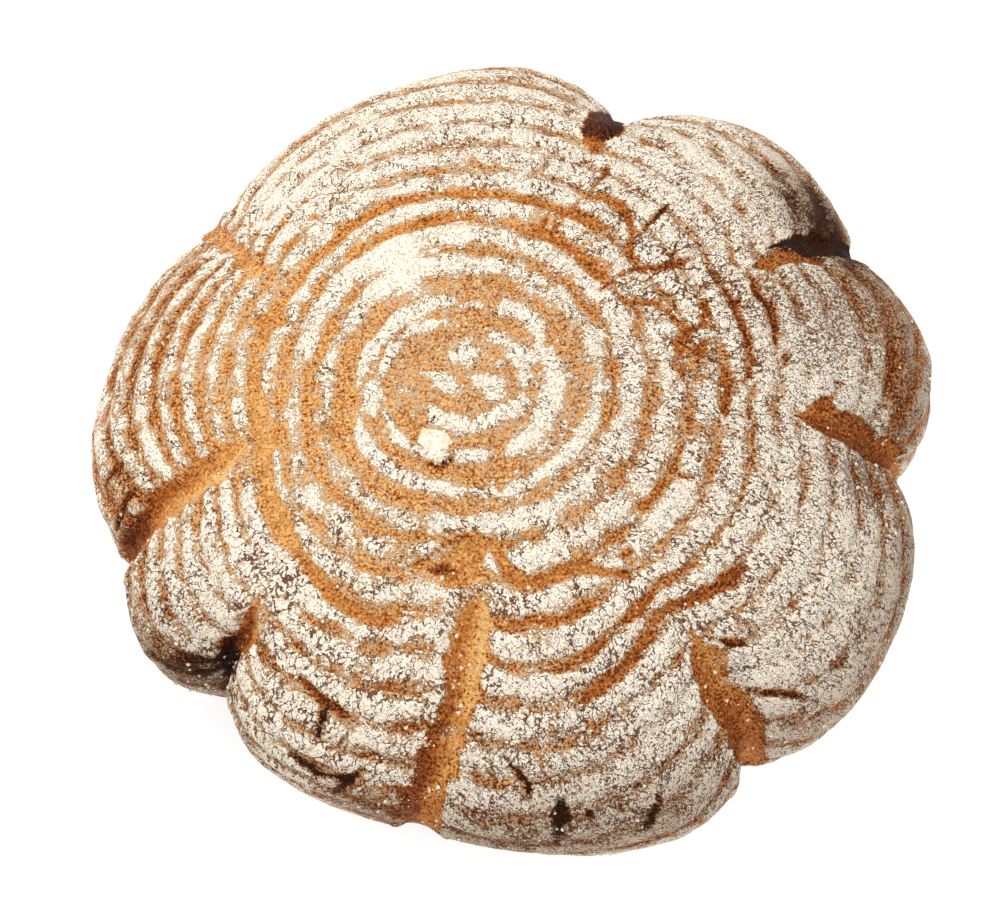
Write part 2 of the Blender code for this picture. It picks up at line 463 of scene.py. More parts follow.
# Where the skin differs from those levels.
PATCHES: dict[Mark, tuple[Patch, ...]] = {
    Mark.RINGS: (
        Patch(167, 118, 29, 52, 1.35),
        Patch(168, 38, 36, 20, 0.35),
        Patch(252, 55, 9, 32, 0.3),
        Patch(276, 80, 12, 24, -0.22),
        Patch(6, 106, 9, 14, -0.4),
        Patch(236, 122, 16, 16, 1),
    ),
    Mark.FLOUR: (
        Patch(122, 42, 9, 9, 1.8),
        Patch(140, 47, 14, 5, 0.6),
        Patch(30, 62, 50, 28, 0.3),
        Patch(310, 48, 32, 18, 0.2),
        Patch(312, 78, 30, 22, 0.25),
        Patch(100, 98, 32, 30, 0.6),
        Patch(133, 88, 10, 26, 0.8),
        Patch(50, 102, 22, 28, 0.7),
        Patch(10, 106, 22, 22, 0.6),
        Patch(328, 108, 28, 28, 0.7),
        Patch(280, 98, 22, 30, 0.6),
        Patch(211, 86, 10, 24, 0.55),
        Patch(220, 68, 7, 7, 0.9),
        Patch(238, 94, 16, 30, 0.5),
        Patch(262, 48, 7, 6, -0.8),
        Patch(190, 48, 30, 10, -0.25),
        Patch(192, 106, 6, 9, -0.6),
        Patch(10, 127, 18, 7, -0.8),
        Patch(310, 97, 5, 5, -0.6),
        Patch(157, 101, 5, 3, -0.9),
        Patch(163, 106, 5, 3, -0.9),
        # Less flour where shade is painted beside cut 220, here and at 216 degrees, 112 mm.
        Patch(216, 114, 5, 6, -0.9),
        Patch(175, 86, 24, 32, -0.55),
        Patch(347, 116, 4, 8, -0.8),
        Patch(5, 123, 8, 6, -1.2),
        Patch(200, 42, 62, 15, -0.42),
        Patch(206, 52, 9, 2, 1.3),
        Patch(216, 112, 4, 8, -1.6),
        Patch(247, 116, 6, 8, -0.6),
        Patch(257.5, 84, 2.5, 24, 2),
        Patch(305, 104, 3, 14, 2.2),
        Patch(357, 104, 2, 12, 1.2),
        Patch(311, 25, 11, 6, 0.9),
        Patch(128, 45, 24, 8, 0.3),
        # Less flour where shade is painted on the lobe side beside cut 32, here and at 36 degrees, 134 mm.
        Patch(38, 128, 8, 11, -0.65),
        Patch(20, 117, 9, 12, -0.5),
        Patch(75.5, 93, 4, 3, -0.5),
        Patch(30, 93, 3, 4, -0.9),
        Patch(60, 6, 300, 11, 0.3),
        Patch(149.5, 93, 1.2, 11, 1.6),
        Patch(153.5, 84, 1.5, 8, 1.2),
        Patch(355, 23, 16, 4, 0.6),
        Patch(330, 95, 9, 9, 0.5),
        Patch(197.5, 106, 4, 13, -0.6),
        Patch(36, 134, 7, 9, -0.8),
    ),
    Mark.STRIPE: (
        Patch(172, 84, 26, 36, 0.12),
        Patch(25, 118, 40, 26, -0.25),
        Patch(100, 104, 30, 30, -0.2),
        Patch(133, 88, 11, 24, -0.2),
        Patch(272, 114, 26, 24, -0.15),
        Patch(328, 112, 30, 28, -0.25),
        Patch(212, 104, 12, 26, -0.3),
        Patch(238, 124, 14, 20, -0.2),
        Patch(240, 86, 22, 30, -0.05),
        Patch(219, 70, 6, 8, -0.7),
        Patch(118, 62, 30, 22, -0.15),
    ),
    Mark.CRACKLE: (
        Patch(250, 86, 50, 40, 0.5),
        Patch(325, 80, 30, 40, 0.3),
        Patch(40, 74, 50, 38, 0.35),
        Patch(165, 60, 35, 50, -0.15),
        Patch(122, 42, 14, 10, -0.8),
        Patch(247, 95, 4, 4, -0.8),
        Patch(355, 23, 18, 6, -0.8),
    ),
    Mark.PLATES: (
        Patch(42, 68, 36, 26, 0.85),
        Patch(250, 96, 40, 28, 0.3),
        Patch(135, 80, 14, 20, 0.35),
    ),
    Mark.PEPPER: (
        Patch(5, 98, 60, 44, 0.75),
        Patch(275, 112, 34, 34, 0.75),
        Patch(110, 95, 34, 36, 0.3),
        Patch(212, 104, 13, 24, 0.65),
        Patch(190, 106, 8, 14, 0.5),
        Patch(122, 42, 14, 12, -0.4),
        Patch(347, 112, 6, 12, 1),
        Patch(38, 128, 8, 12, 0.8),
        Patch(20, 112, 9, 18, 0.7),
    ),
    # Greyer, darker flour at the rim and beside the cuts at 220 and 32 degrees: toasted flour and painted
    # shade.
    Mark.TOAST: (
        Patch(270, 130, 38, 16, 0.8),
        Patch(214, 122, 12, 16, 0.7),
        Patch(15, 132, 30, 12, 0.75),
        Patch(330, 138, 30, 16, 0.6),
        Patch(247, 117, 6, 8, 0.7),
        Patch(39, 129, 9, 12, 1),
    ),
    # Some of these paint shade: at the rim, beside cut 220 and on the lobe side next to cut 32's hollow.
    Mark.BAKE: (
        Patch(240, 90, 24, 22, 0.14),
        Patch(355, 75, 70, 40, 0.18),
        Patch(20, 120, 60, 26, 0.22),
        Patch(275, 128, 50, 24, 0.35),
        Patch(216, 116, 12, 20, 0.4),
        Patch(190, 56, 60, 28, -0.1),
        Patch(172, 98, 22, 14, 0.15),
        Patch(221, 108, 4, 12, 0.45),
        Patch(38, 128, 9, 13, 0.8),
        Patch(75.5, 94, 6, 3, -0.4),
        Patch(197.5, 106, 4, 13, 0.25),
    ),
    Mark.CRUMBS: (
        Patch(256, 80, 4, 22, 5),
        Patch(32, 116, 9, 28, -3),
        Patch(75, 112, 7, 26, -3),
        Patch(254, 112, 4, 12, 5),
        Patch(303, 106, 6, 18, 2.5),
        Patch(221, 100, 3, 20, 2),
    ),
}


@dataclass(frozen=True)
class Trail:
    """A line on the skin through stops of azimuth in degrees and arc in millimetres from the crown.

    Lengths are millimetres. The darkening is how much darker the crust is along it: darker crust in the
    tears, and painted shadow in the line along the flour lump's lower edge. The line's ends taper, its
    edges stray as the skin's wander says and are soft, and wide lines are deeper. Beyond the flat reach,
    degrees count as if they were on it.
    """

    stops: tuple[tuple[float, float], ...]
    width: float
    bake: float = 0.0
    stray: float = 1.1
    softness: float = 1.6
    taper: float = 5.0
    narrowest: float = 0.05
    least_depth: float = 0.35
    depth_share: float = 0.15
    most_depth: float = 1.2
    flat_reach: float = 95.0
    flat_share: float = 0.93

    @property
    def depth(self) -> float:
        """Metres by which torn crust sinks along the line."""
        return min(self.least_depth + self.depth_share * self.width, self.most_depth) * MM

    def _flat(self, degrees: np.ndarray, arc: np.ndarray) -> tuple[np.ndarray, np.ndarray]:
        """Millimetres sideways and outwards of a point, with the skin laid flat round the line's middle."""
        return np.radians(degrees) * np.minimum(arc, self.flat_reach) * self.flat_share, arc

    def nearness(self, azimuth: np.ndarray, arc: np.ndarray, wander: np.ndarray) -> np.ndarray:
        """How near the line each point is: 1 well inside its width and 0 outside.

        Args:
            azimuth: Angles in radians.
            arc: Metres along the skin from the crown.
            wander: Metres by which the line's edges stray.

        Returns:
            Shares from 0 to 1.
        """
        stops = np.array(self.stops, dtype=float)
        middle = (stops[0, 0] + stops[-1, 0]) / 2
        across, along = self._flat(np.degrees(signed_turn(azimuth - math.radians(middle))), arc / MM)
        ends_across, ends_along = self._flat(stops[:, 0] - middle, stops[:, 1])
        runs, rises = np.diff(ends_across), np.diff(ends_along)
        lengths = np.hypot(runs, rises)
        travelled = np.concatenate([[0.0], np.cumsum(lengths)])
        taper = min(self.taper, travelled[-1] / 3)
        near = np.zeros_like(azimuth)
        for number, (run, climb, length) in enumerate(zip(runs, rises, lengths)):
            from_across, from_along = across - ends_across[number], along - ends_along[number]
            share = np.clip((from_across * run + from_along * climb) / length**2, 0.0, 1.0)
            distance = np.hypot(from_across - share * run, from_along - share * climb)
            place = travelled[number] + share * length
            left = np.minimum(place, travelled[-1] - place) / taper
            half = self.width / 2 * np.sqrt(np.clip(left, self.narrowest, 1.0))
            inside = half - distance - wander / MM * self.stray
            near = np.maximum(near, smooth_step(inside / self.softness + 0.5))
        return near


# Where the crust tore open.
TEARS: tuple[Trail, ...] = (
    Trail(((72, 64), (90, 65), (106, 66.5), (118, 66), (132, 63)), 2.5),
    Trail(((128, 64), (140, 60.5), (154, 57.5), (168, 58)), 2.2),
    Trail(((160, 53), (161, 58), (162, 63)), 3.4),
    Trail(((172, 57), (180, 56.5), (186, 55)), 2.6),
    Trail(((181, 56.5), (188, 54.5), (194, 54.2), (204, 57), (213, 59.3), (222, 61.5)), 4.4, -0.1),
    Trail(((220, 61), (232, 65), (240, 67), (246, 65)), 3.0),
    Trail(((189, 51), (193, 51.5), (196, 53)), 3.0),
    Trail(((96, 56.5), (104, 57), (116, 56), (127, 55)), 2.8),
    Trail(((130, 54.5), (136, 54.5)), 2.6),
    Trail(((45, 51.5), (55, 52), (66, 54), (76, 55), (85, 53.5)), 3.5, 0.05),
    Trail(((46, 48), (46.5, 55), (45.5, 61), (41.5, 66), (40, 71), (39, 78)), 1.9, 0.2),
    Trail(
        ((46, 60), (50, 63.5), (54, 69.5), (58, 73.5), (62, 76.5), (67, 76), (70.5, 72), (71, 66)),
        1.9,
        0.1,
    ),
    Trail(((57, 66.5), (64, 65.5), (70, 65.5), (77, 64.5), (90, 65)), 2.4, 0.05),
    Trail(((72.5, 55), (72.5, 63)), 1.2, 0.2),
    Trail(((76, 55), (76.2, 64)), 1.3, 0.15),
    Trail(((70, 75), (69.5, 83), (70, 90)), 1.2, 0.2),
    Trail(((36, 52.5), (33.5, 55.5), (31.5, 58.5), (23, 60)), 2.1, 0.1),
    Trail(((353, 68.5), (360, 69.5), (368, 70.5)), 2.1, 0.12),
    Trail(((4, 58), (10, 56.5), (16, 59), (20, 63), (20.5, 68), (27, 71.5)), 1.5, 0.1),
    Trail(((0, 73), (5, 76.5), (10, 78), (22, 78.5), (32, 78)), 1.4, 0.15),
    Trail(((5.5, 84), (8, 88), (10.5, 89)), 2.1, 0.15),
    Trail(((11, 80), (9.5, 86)), 1.3, 0.2),
    Trail(((12.5, 86.5), (18, 88.5), (22, 88.5), (27.5, 86.5)), 2.2, 0.2),
    Trail(((330, 60), (333, 64.5)), 1.6, 0.15),
    Trail(
        ((264, 43), (269, 45), (272, 51), (276, 56), (282, 56.5), (288, 56.5), (293, 59), (298, 64)),
        3.2,
    ),
    Trail(((256, 54), (259, 48), (264, 44), (269, 44)), 8.0, -0.08),
    Trail(((247, 50), (252, 45.5), (258, 41.5), (265, 39.5)), 1.8, 0.4),
    Trail(((251.5, 50.5), (254, 50), (257.5, 50)), 3.2, 0.4),
    Trail(((278, 89), (284, 86.5), (289, 84.5), (294, 81), (299, 78), (303, 78), (307, 80)), 3.4, 0.04),
    Trail(((302, 78), (307, 80.5), (311, 83), (315, 85), (319, 86)), 3.6, 0.08),
    Trail(((292, 75.5), (299, 73.5), (305, 71.8), (309, 73.5), (314, 75)), 1.9, 0.12),
    Trail(((267, 66), (275, 65), (281, 67.5), (291, 66.5)), 3.2, 0.12),
    Trail(((275, 79.5), (282, 79), (289, 76.5)), 1.5, 0.1),
    Trail(((303.5, 100), (304, 106), (306, 112), (309.5, 119), (311.5, 125)), 1.6, 0.15),
    Trail(((303.5, 89), (306, 94), (309, 100)), 0.5, 0.2),
    Trail(((273, 112), (272.5, 121), (271.5, 130)), 2.2, 0.6),
    Trail(((276.5, 117), (275.5, 128)), 1.1, 0.6),
    Trail(((286.5, 116), (284.5, 124), (283, 129)), 1.3, 0.55),
    Trail(((265.5, 97), (269, 106), (268, 112)), 1.1, 0.5),
    Trail(((238.7, 91), (238.9, 100)), 0.9, 0.6),
    Trail(((243.5, 94), (241.5, 101)), 0.7, 0.4),
    Trail(((233.5, 87), (237, 89.5), (241.5, 91)), 3.0, 0.15),
    Trail(((246, 104), (243.5, 112), (242, 119)), 1.3, 0.4),
    Trail(((236, 108), (240, 110.5), (244, 109)), 1.2, 0.3),
    Trail(((187, 98), (187.5, 105), (188.5, 110)), 1.4, 0.3),
    Trail(((191.5, 98), (193, 106), (194, 114)), 1.4, 0.4),
    # Painted shadow: a thin dark line along the flour lump's lower edge.
    Trail(((222, 20), (229, 22.3), (237, 23.4), (246, 22.6), (252, 20)), 0.5, 0.6),
    Trail(((50, 74), (49, 84)), 0.3, 0.4),
    Trail(((53, 72), (54, 84)), 0.3, 0.4),
    Trail(((295, 60), (300, 66)), 1.2, 0.1),
    Trail(((301.5, 61), (305, 61.5)), 1.4, 0.1),
    Trail(((315, 56.5), (322, 57), (328, 57.5)), 1.4, 0.1),
    Trail(((6, 64), (12, 64), (16, 67)), 1.4, 0.1),
    Trail(((31.5, 91), (31.6, 98), (32, 104), (31.2, 111), (30.4, 118)), 4.6, -0.2),
)

# The stripes of flour on the crown, which are less even than the rings.
CROWN_BANDS: tuple[Trail, ...] = (
    Trail(((5, 10.5), (14, 7), (40, 4.5), (80, 4)), 4.0),
    Trail(((160, 10.5), (165, 6), (215, 2)), 4.2),
    Trail(((325, 6.5), (340, 8), (353, 10)), 2.2),
    Trail(((118, 11.5), (97, 10.3), (75, 10.6)), 6.4),
    Trail(((38, 12.5), (50, 11)), 2.4),
    Trail(((205, 10.5), (225, 11), (250, 10), (262, 10)), 3.0),
    Trail(((250, 12.7), (267, 11.4), (290, 11.6), (311, 11.6), (330, 15), (343, 16), (357, 16.2)), 3.2),
    Trail(((-6, 16), (13, 16.6), (30, 17.2), (49, 17.6), (66, 17.8), (80, 18.7)), 4.4),
    Trail(((288, 22), (320, 22), (345, 22.5), (366, 23.5), (380, 24), (398, 24)), 5.0),
    Trail(((40, 26), (55, 28), (70, 29), (80, 28)), 5.0),
    Trail(((72, 25.5), (84, 26), (104, 27)), 2.2),
    Trail(((106, 20.5), (120, 21.5), (135, 22.5), (150, 22.5), (176, 23)), 3.0),
    Trail(((176, 24.5), (186, 24), (198, 25)), 3.0),
    Trail(((194, 21), (212, 22), (235, 21.5), (252, 19.5), (266, 19.5), (286, 20.5)), 2.8),
    Trail(((104, 28), (120, 28), (135, 28), (150, 27), (178, 28.5)), 4.0),
    Trail(((193, 28), (205, 29.5), (225, 30), (245, 29), (262, 29), (277, 31)), 3.5),
    Trail(((275, 32.5), (285, 31), (300, 31), (320, 33), (340, 34), (362, 35.5)), 3.6),
)


@dataclass(frozen=True)
class SkinMarks:
    """What is found at each point of the skin, as arrays of one shape.

    Layers holds what the finish reads, by the attribute's name. Crumbs says how common crumbs are, and
    raised is metres by which the skin stands out.
    """

    layers: dict[str, np.ndarray]
    crumbs: np.ndarray
    raised: np.ndarray


# --------------------------------------------------------------------------------------- shader helpers


class Socket:
    """A node's output that can be used in Python sums, each of which adds a Math node."""

    def __init__(self, bench: "NodeBench", output: bpy.types.NodeSocket) -> None:
        """Keeps the bench that makes further nodes, and the output."""
        self.bench = bench
        self.output = output

    def _math(self, operation: str, first: Number, second: Number = 0.0) -> "Socket":
        """A Math node of two terms."""
        return self.bench.node("ShaderNodeMath", {"operation": operation}, {0: first, 1: second})

    def __add__(self, other: Number) -> "Socket":
        """The sum."""
        return self._math("ADD", self, other)

    def __radd__(self, other: float) -> "Socket":
        """The sum, number first."""
        return self._math("ADD", other, self)

    def __sub__(self, other: Number) -> "Socket":
        """The difference."""
        return self._math("SUBTRACT", self, other)

    def __rsub__(self, other: float) -> "Socket":
        """The difference, number first."""
        return self._math("SUBTRACT", other, self)

    def __mul__(self, other: Number) -> "Socket":
        """The product."""
        return self._math("MULTIPLY", self, other)

    def __rmul__(self, other: float) -> "Socket":
        """The product, number first."""
        return self._math("MULTIPLY", other, self)

    def __pow__(self, other: Number) -> "Socket":
        """The power."""
        return self._math("POWER", self, other)

    def size(self) -> "Socket":
        """The value without its sign."""
        return self._math("ABSOLUTE", self)

    def cosine(self) -> "Socket":
        """The cosine."""
        return self._math("COSINE", self)

    def larger(self, other: Number) -> "Socket":
        """The larger of the two."""
        return self._math("MAXIMUM", self, other)

    def ramp(self, low: float, high: float, first: float = 0.0, last: float = 1.0) -> "Socket":
        """A smooth step from first to last as the value goes from low to high.

        Args:
            low: The value at which it leaves first.
            high: The value at which it reaches last.
            first: What it gives below.
            last: What it gives above.

        Returns:
            The step.
        """
        return self.bench.node(
            "ShaderNodeMapRange",
            {"interpolation_type": "SMOOTHSTEP", "clamp": True},
            {"Value": self, "From Min": low, "From Max": high, "To Min": first, "To Max": last},
        )


class NodeBench:
    """Makes the nodes of one tree."""

    def __init__(self, tree: bpy.types.NodeTree) -> None:
        """Keeps the tree."""
        self.tree = tree

    def add(self, kind: str, settings: dict, values: dict) -> bpy.types.Node:
        """Adds a node of any kind.

        Args:
            kind: The node's type name.
            settings: Properties set before its sockets. stops is a ramp's list of place and colour.
            values: Values or links by socket name or number.

        Returns:
            The node.
        """
        made = self.tree.nodes.new(kind)
        for name, value in settings.items():
            if name == "stops":
                self._set_stops(made, value)
            else:
                setattr(made, name, value)
        for name, value in values.items():
            self.feed(made.inputs[name], value)
        return made

    def node(
        self,
        kind: str,
        settings: Optional[dict] = None,
        values: Optional[dict] = None,
        output: Union[int, str] = 0,
    ) -> Socket:
        """Adds a node of any kind and takes one of its outputs.

        Args:
            kind: The node's type name.
            settings: As add takes them.
            values: As add takes them.
            output: The output's name or number.

        Returns:
            The output, ready for sums.
        """
        return Socket(self, self.add(kind, settings or {}, values or {}).outputs[output])

    def feed(self, target: bpy.types.NodeSocket, value: object) -> None:
        """Links a socket into an input, or sets the input's own value.

        Args:
            target: The input.
            value: A socket, or the value.
        """
        if isinstance(value, Socket):
            self.tree.links.new(value.output, target)
        else:
            target.default_value = value

    @staticmethod
    def _set_stops(ramp: bpy.types.Node, stops: Sequence[tuple[float, tuple[float, ...]]]) -> None:
        """Sets the stops of a colour ramp.

        Args:
            ramp: The ramp's node.
            stops: Each stop's place and colour.
        """
        elements = ramp.color_ramp.elements
        while len(elements) < len(stops):
            elements.new(0.5)
        for element, (place, colour) in zip(elements, stops):
            element.position = place
            element.color = colour

    def attribute(self, name: str) -> Socket:
        """A value kept on the mesh."""
        return self.node("ShaderNodeAttribute", {"attribute_name": name}, output="Fac")

    def noise(
        self,
        where: Socket,
        scale: float,
        detail: float = 2.0,
        rough: float = 0.6,
        dimensions: str = "3D",
        output: Union[int, str] = 0,
    ) -> Socket:
        """Cloudy noise.

        Args:
            where: The place at which it is read.
            scale: Lumps in one unit of the place.
            detail: How many finer layers it has.
            rough: How strong each finer layer is.
            dimensions: 3D, or 2D on a plane.
            output: 0 for a value or Color for three.

        Returns:
            Noise from 0 to 1, about one half.
        """
        values = {"Vector": where, "Scale": scale, "Detail": detail, "Roughness": rough}
        return self.node("ShaderNodeTexNoise", {"noise_dimensions": dimensions}, values, output)

    def plane(self, across: Socket, along: Socket) -> Socket:
        """A place on a plane."""
        return self.node("ShaderNodeCombineXYZ", {}, {"X": across, "Y": along})

    def mix_colour(self, share: Number, first: object, second: object) -> Socket:
        """A colour between two, 0 giving the first.

        Args:
            share: How much of the second.
            first: A colour or a link.
            second: A colour or a link.

        Returns:
            The colour.
        """
        return self.node(
            "ShaderNodeMix",
            {"data_type": "RGBA", "clamp_factor": True},
            {0: share, 6: first, 7: second},
            output=2,
        )


class MaterialBench(NodeBench):
    """Makes a material and its nodes."""

    def __init__(self, name: str) -> None:
        """Starts an empty material.

        Args:
            name: The material's name.
        """
        self.material = bpy.data.materials.new(name)
        self.material.use_nodes = True
        self.material.node_tree.nodes.clear()
        super().__init__(self.material.node_tree)

    def bumped(self, height: Socket) -> Socket:
        """The normal of a skin with a height in metres."""
        return self.node("ShaderNodeBump", {}, {"Strength": 1.0, "Distance": 1.0, "Height": height})

    def finished(self, values: dict) -> bpy.types.Material:
        """Ends the material with a shader that takes values by socket name.

        Args:
            values: Values or links of the shader.

        Returns:
            The material.
        """
        shader = self.node("ShaderNodeBsdfPrincipled", {}, values)
        self.add("ShaderNodeOutputMaterial", {}, {"Surface": shader})
        return self.material


def linear(red: int, green: int, blue: int) -> tuple[float, float, float, float]:
    """A display colour of 0 to 255 a channel as the linear colour that shaders take.

    Args:
        red: The red channel.
        green: The green channel.
        blue: The blue channel.

    Returns:
        The colour, opaque.
    """

    def channel(value: int) -> float:
        """One channel."""
        share = value / 255
        return share / 12.92 if share <= 0.04045 else ((share + 0.055) / 1.055) ** 2.4

    return channel(red), channel(green), channel(blue), 1.0


# --------------------------------------------------------------------------------------------- finishes


@dataclass(frozen=True)
class CrustFinish:
    """Bread crust with a coat of proving flour in stripes, cracked where it dried.

    Scales are features a metre, so 1000 gives about one a millimetre. Weights say how much flour each thing
    adds or takes away, and shares how strongly it shows. An edge is the two values between which something
    goes from none to all.
    """

    pale: tuple[int, int, int] = (240, 192, 124)
    golden: tuple[int, int, int] = (215, 148, 78)
    rust: tuple[int, int, int] = (182, 103, 46)
    brown: tuple[int, int, int] = (120, 59, 24)
    dark: tuple[int, int, int] = (36, 15, 5)
    crack: tuple[int, int, int] = (94, 42, 13)
    flour: tuple[int, int, int] = (255, 245, 228)
    flour_shade: tuple[int, int, int] = (212, 182, 150)
    flour_thin: tuple[int, int, int] = (226, 188, 142)
    # The grey-brown laid over the flour at the rim: toasted flour and painted shade.
    toasted_and_shaded: tuple[int, int, int] = (168, 144, 120)
    crust_roughness: float = 0.62
    flour_roughness: float = 0.92
    gloss: float = 0.06
    blot_scale: float = 430.0
    grain_scale: float = 1600.0
    speck_scale: float = 1350.0
    stray_scale: float = 170.0
    stray_reach: float = 9.0 * MM
    crazing_width: float = 2.6 * MM
    crazing_length: float = 4.2 * MM
    network_cell: float = 9.5 * MM
    streak_length: float = 6.5 * MM
    streak_width: float = 1.5 * MM
    trough_sharpness: float = 1.7
    trough_streak_weight: float = 4.0
    streak_weight: float = 0.8
    blot_weight: float = 3.3
    grain_weight: float = 3.4
    bare_weight: float = 3.6
    gap_weight: float = 1.2
    crazing_weight: float = 0.7
    thick_edge: tuple[float, float] = (-0.10, 0.32)
    thin_edge: tuple[float, float] = (-1.35, 0.05)
    gap_edge: tuple[float, float] = (-0.05, 0.03)
    split_edge: tuple[float, float] = (0.0, 0.03)
    crazing_edge: tuple[float, float] = (-0.03, 0.0)
    crack_edge: tuple[float, float] = (-0.005, 0.009)
    pit_edge: tuple[float, float] = (0.25, 0.34)
    seam_edge: tuple[float, float] = (-0.008, 0.012)
    shade_edge: tuple[float, float] = (0.0, 0.18)
    pepper_share: float = 0.17
    seam_width: float = 0.075
    seam_gap: float = 0.045
    seam_lift: float = 0.02
    seam_sink: float = 0.008
    streak_bend: float = 0.7
    crazing_bend: float = 0.8
    crazing_share: float = 0.034
    crazing_gap: float = 0.004
    crazing_break: float = 0.06
    plate_share: float = 0.075
    plate_gap: float = 0.035
    plate_break: float = 0.14
    bare_crack_share: float = 0.25
    pit_share: float = 0.9
    thin_share: float = 0.8
    toast_and_shade_loss: float = 0.7
    crack_share: float = 0.9
    split_share: float = 0.8
    blot_bake: float = 0.5
    speck_bake: float = 2.1
    bare_evenness: float = 1.1
    grain_height: float = 0.6 * MM
    flour_height: float = 0.28 * MM
    crack_depth: float = 0.35 * MM
    split_depth: float = 0.5 * MM

    def build(self) -> bpy.types.Material:
        """Makes the material.

        Returns:
            A material that reads Object coordinates and the crust's own attributes.
        """
        bench = MaterialBench("floured_crust")
        place = bench.node("ShaderNodeTexCoord", output="Object")
        blots = bench.noise(place, self.blot_scale, 3.0, 0.7) - 0.5
        grains = bench.noise(place, self.grain_scale, 1.0) - 0.5
        specks = bench.noise(place, self.speck_scale, 1.0) - 0.5
        trough = (0.5 - (bench.attribute("ring_turns") * FULL_TURN).cosine() * 0.5) ** self.trough_sharpness
        stripe = bench.attribute("stripe")
        furrow = trough * stripe
        bare = bench.attribute("bare")
        network = self._network(bench, blots)
        crazing = self._crazing(bench, blots)
        streaks = self._streaks(bench, blots)
        amount = (
            bench.attribute("flour")
            + (1.0 - trough * 2.0) * stripe
            + streaks * (furrow * self.trough_streak_weight + self.streak_weight)
            + blots * self.blot_weight
            + grains * self.grain_weight
            - bare * self.bare_weight
            - network.ramp(*self.gap_edge) * self.gap_weight
            - crazing.ramp(*self.crazing_edge) * self.crazing_weight
        )
        cover = amount.ramp(*self.thick_edge)
        haze = amount.ramp(*self.thin_edge)
        pits = (bench.attribute("pepper") * self.pepper_share - specks).ramp(*self.pit_edge)
        seams = (furrow * self.seam_width - self.seam_gap - streaks.size()).ramp(*self.seam_edge)
        lines = crazing.larger(seams * self.seam_lift - self.seam_sink).ramp(*self.crack_edge)
        seen = haze * (1.0 - self.bare_crack_share) + self.bare_crack_share
        cracks = (lines * seen).larger(pits * self.pit_share)
        split = network.ramp(*self.split_edge)
        crust = self._crust_colour(bench, blots, specks, bare)
        shaded = specks.ramp(*self.shade_edge)
        white = bench.mix_colour(shaded, linear(*self.flour), linear(*self.flour_shade))
        swell = (grains + blots) * self.grain_height + cover * self.flour_height
        values = {
            "Base Color": self._dress(bench, (crust, white), (haze, cover), (cracks, split)),
            "Roughness": self.crust_roughness + cover * (self.flour_roughness - self.crust_roughness),
            "Normal": bench.bumped(swell - cracks * self.crack_depth - split * self.split_depth),
            "Specular IOR Level": self.gloss,
        }
        return bench.finished(values)

    def _streaks(self, bench: NodeBench, blots: Socket) -> Socket:
        """Fine mottle from about -0.5 to 0.5, drawn out along the rings and bent by the blots.

        Args:
            bench: The material's bench.
            blots: Mottle that bends it.

        Returns:
            The mottle.
        """
        along = bench.attribute("along") * (1 / self.streak_length)
        outwards = bench.attribute("arc") * (1 / self.streak_width) + blots * self.streak_bend
        return bench.noise(bench.plane(along, outwards), 1.0, dimensions="2D") - 0.5

    def _crazing(self, bench: NodeBench, blots: Socket) -> Socket:
        """Fine cracks in the flour that run mostly outwards.

        Args:
            bench: The material's bench.
            blots: Mottle that bends and breaks them.

        Returns:
            How far inside a crack each point is, less than 0 outside.
        """
        along = bench.attribute("along") * (1 / self.crazing_width) + blots * self.crazing_bend
        outwards = bench.attribute("arc") * (1 / self.crazing_length)
        folds = bench.noise(bench.plane(along, outwards), 1.0, rough=0.65, dimensions="2D") - 0.5
        reach = bench.attribute("crackle") * self.crazing_share - self.crazing_gap
        return reach + blots * self.crazing_break - folds.size()

    def _network(self, bench: NodeBench, blots: Socket) -> Socket:
        """Wide, wandering cracks that part the coat into plates.

        Args:
            bench: The material's bench.
            blots: Mottle that bends them.

        Returns:
            How far inside a crack each point is, as a share of a plate, less than 0 outside.
        """
        skin = bench.node("ShaderNodeAttribute", {"attribute_name": "skin"}, output="Vector")
        cloud = bench.noise(skin, self.stray_scale, rough=0.65, dimensions="2D", output="Color")
        strayed = {0: cloud, "Scale": self.stray_reach}
        stray = bench.node("ShaderNodeVectorMath", {"operation": "SCALE"}, strayed)
        where = bench.node("ShaderNodeVectorMath", {"operation": "ADD"}, {0: skin, 1: stray})
        edges = bench.node(
            "ShaderNodeTexVoronoi",
            {"feature": "DISTANCE_TO_EDGE", "voronoi_dimensions": "2D"},
            {"Vector": where, "Scale": 1 / self.network_cell},
        )
        reach = bench.attribute("plates") * self.plate_share - self.plate_gap
        return reach + blots * self.plate_break - edges

    def _crust_colour(self, bench: NodeBench, blots: Socket, specks: Socket, bare: Socket) -> Socket:
        """The colour of the crust under the flour, evener where it is bare. It darkens with the bake value,
        which holds painted shade as well as baking.

        Args:
            bench: The material's bench.
            blots: Wide mottle.
            specks: Fine mottle.
            bare: Where the crust is bare.

        Returns:
            The colour.
        """
        uneven = specks * (self.speck_bake - bare * self.bare_evenness)
        tones = (self.pale, self.golden, self.rust, self.brown, self.dark)
        stops = tuple((number / (len(tones) - 1), linear(*tone)) for number, tone in enumerate(tones))
        # The bake value is the crust's baking together with painted shade in hollows, on cut walls and at
        # the rim.
        bake = bench.attribute("bake") + blots * self.blot_bake - uneven
        return bench.node("ShaderNodeValToRGB", {"stops": stops}, {"Fac": bake})

    def _dress(
        self, bench: NodeBench, tones: Sequence[Socket], covers: Sequence[Socket], cracks: Sequence[Socket]
    ) -> Socket:
        """The crust's colour with flour over it, greyed at the rim by toasting and painted shade, and
        cracks through the flour.

        Args:
            bench: The material's bench.
            tones: The colours of the crust and of thick flour.
            covers: Where thin flour and where thick flour lies.
            cracks: The fine cracks and the wide ones.

        Returns:
            The colour.
        """
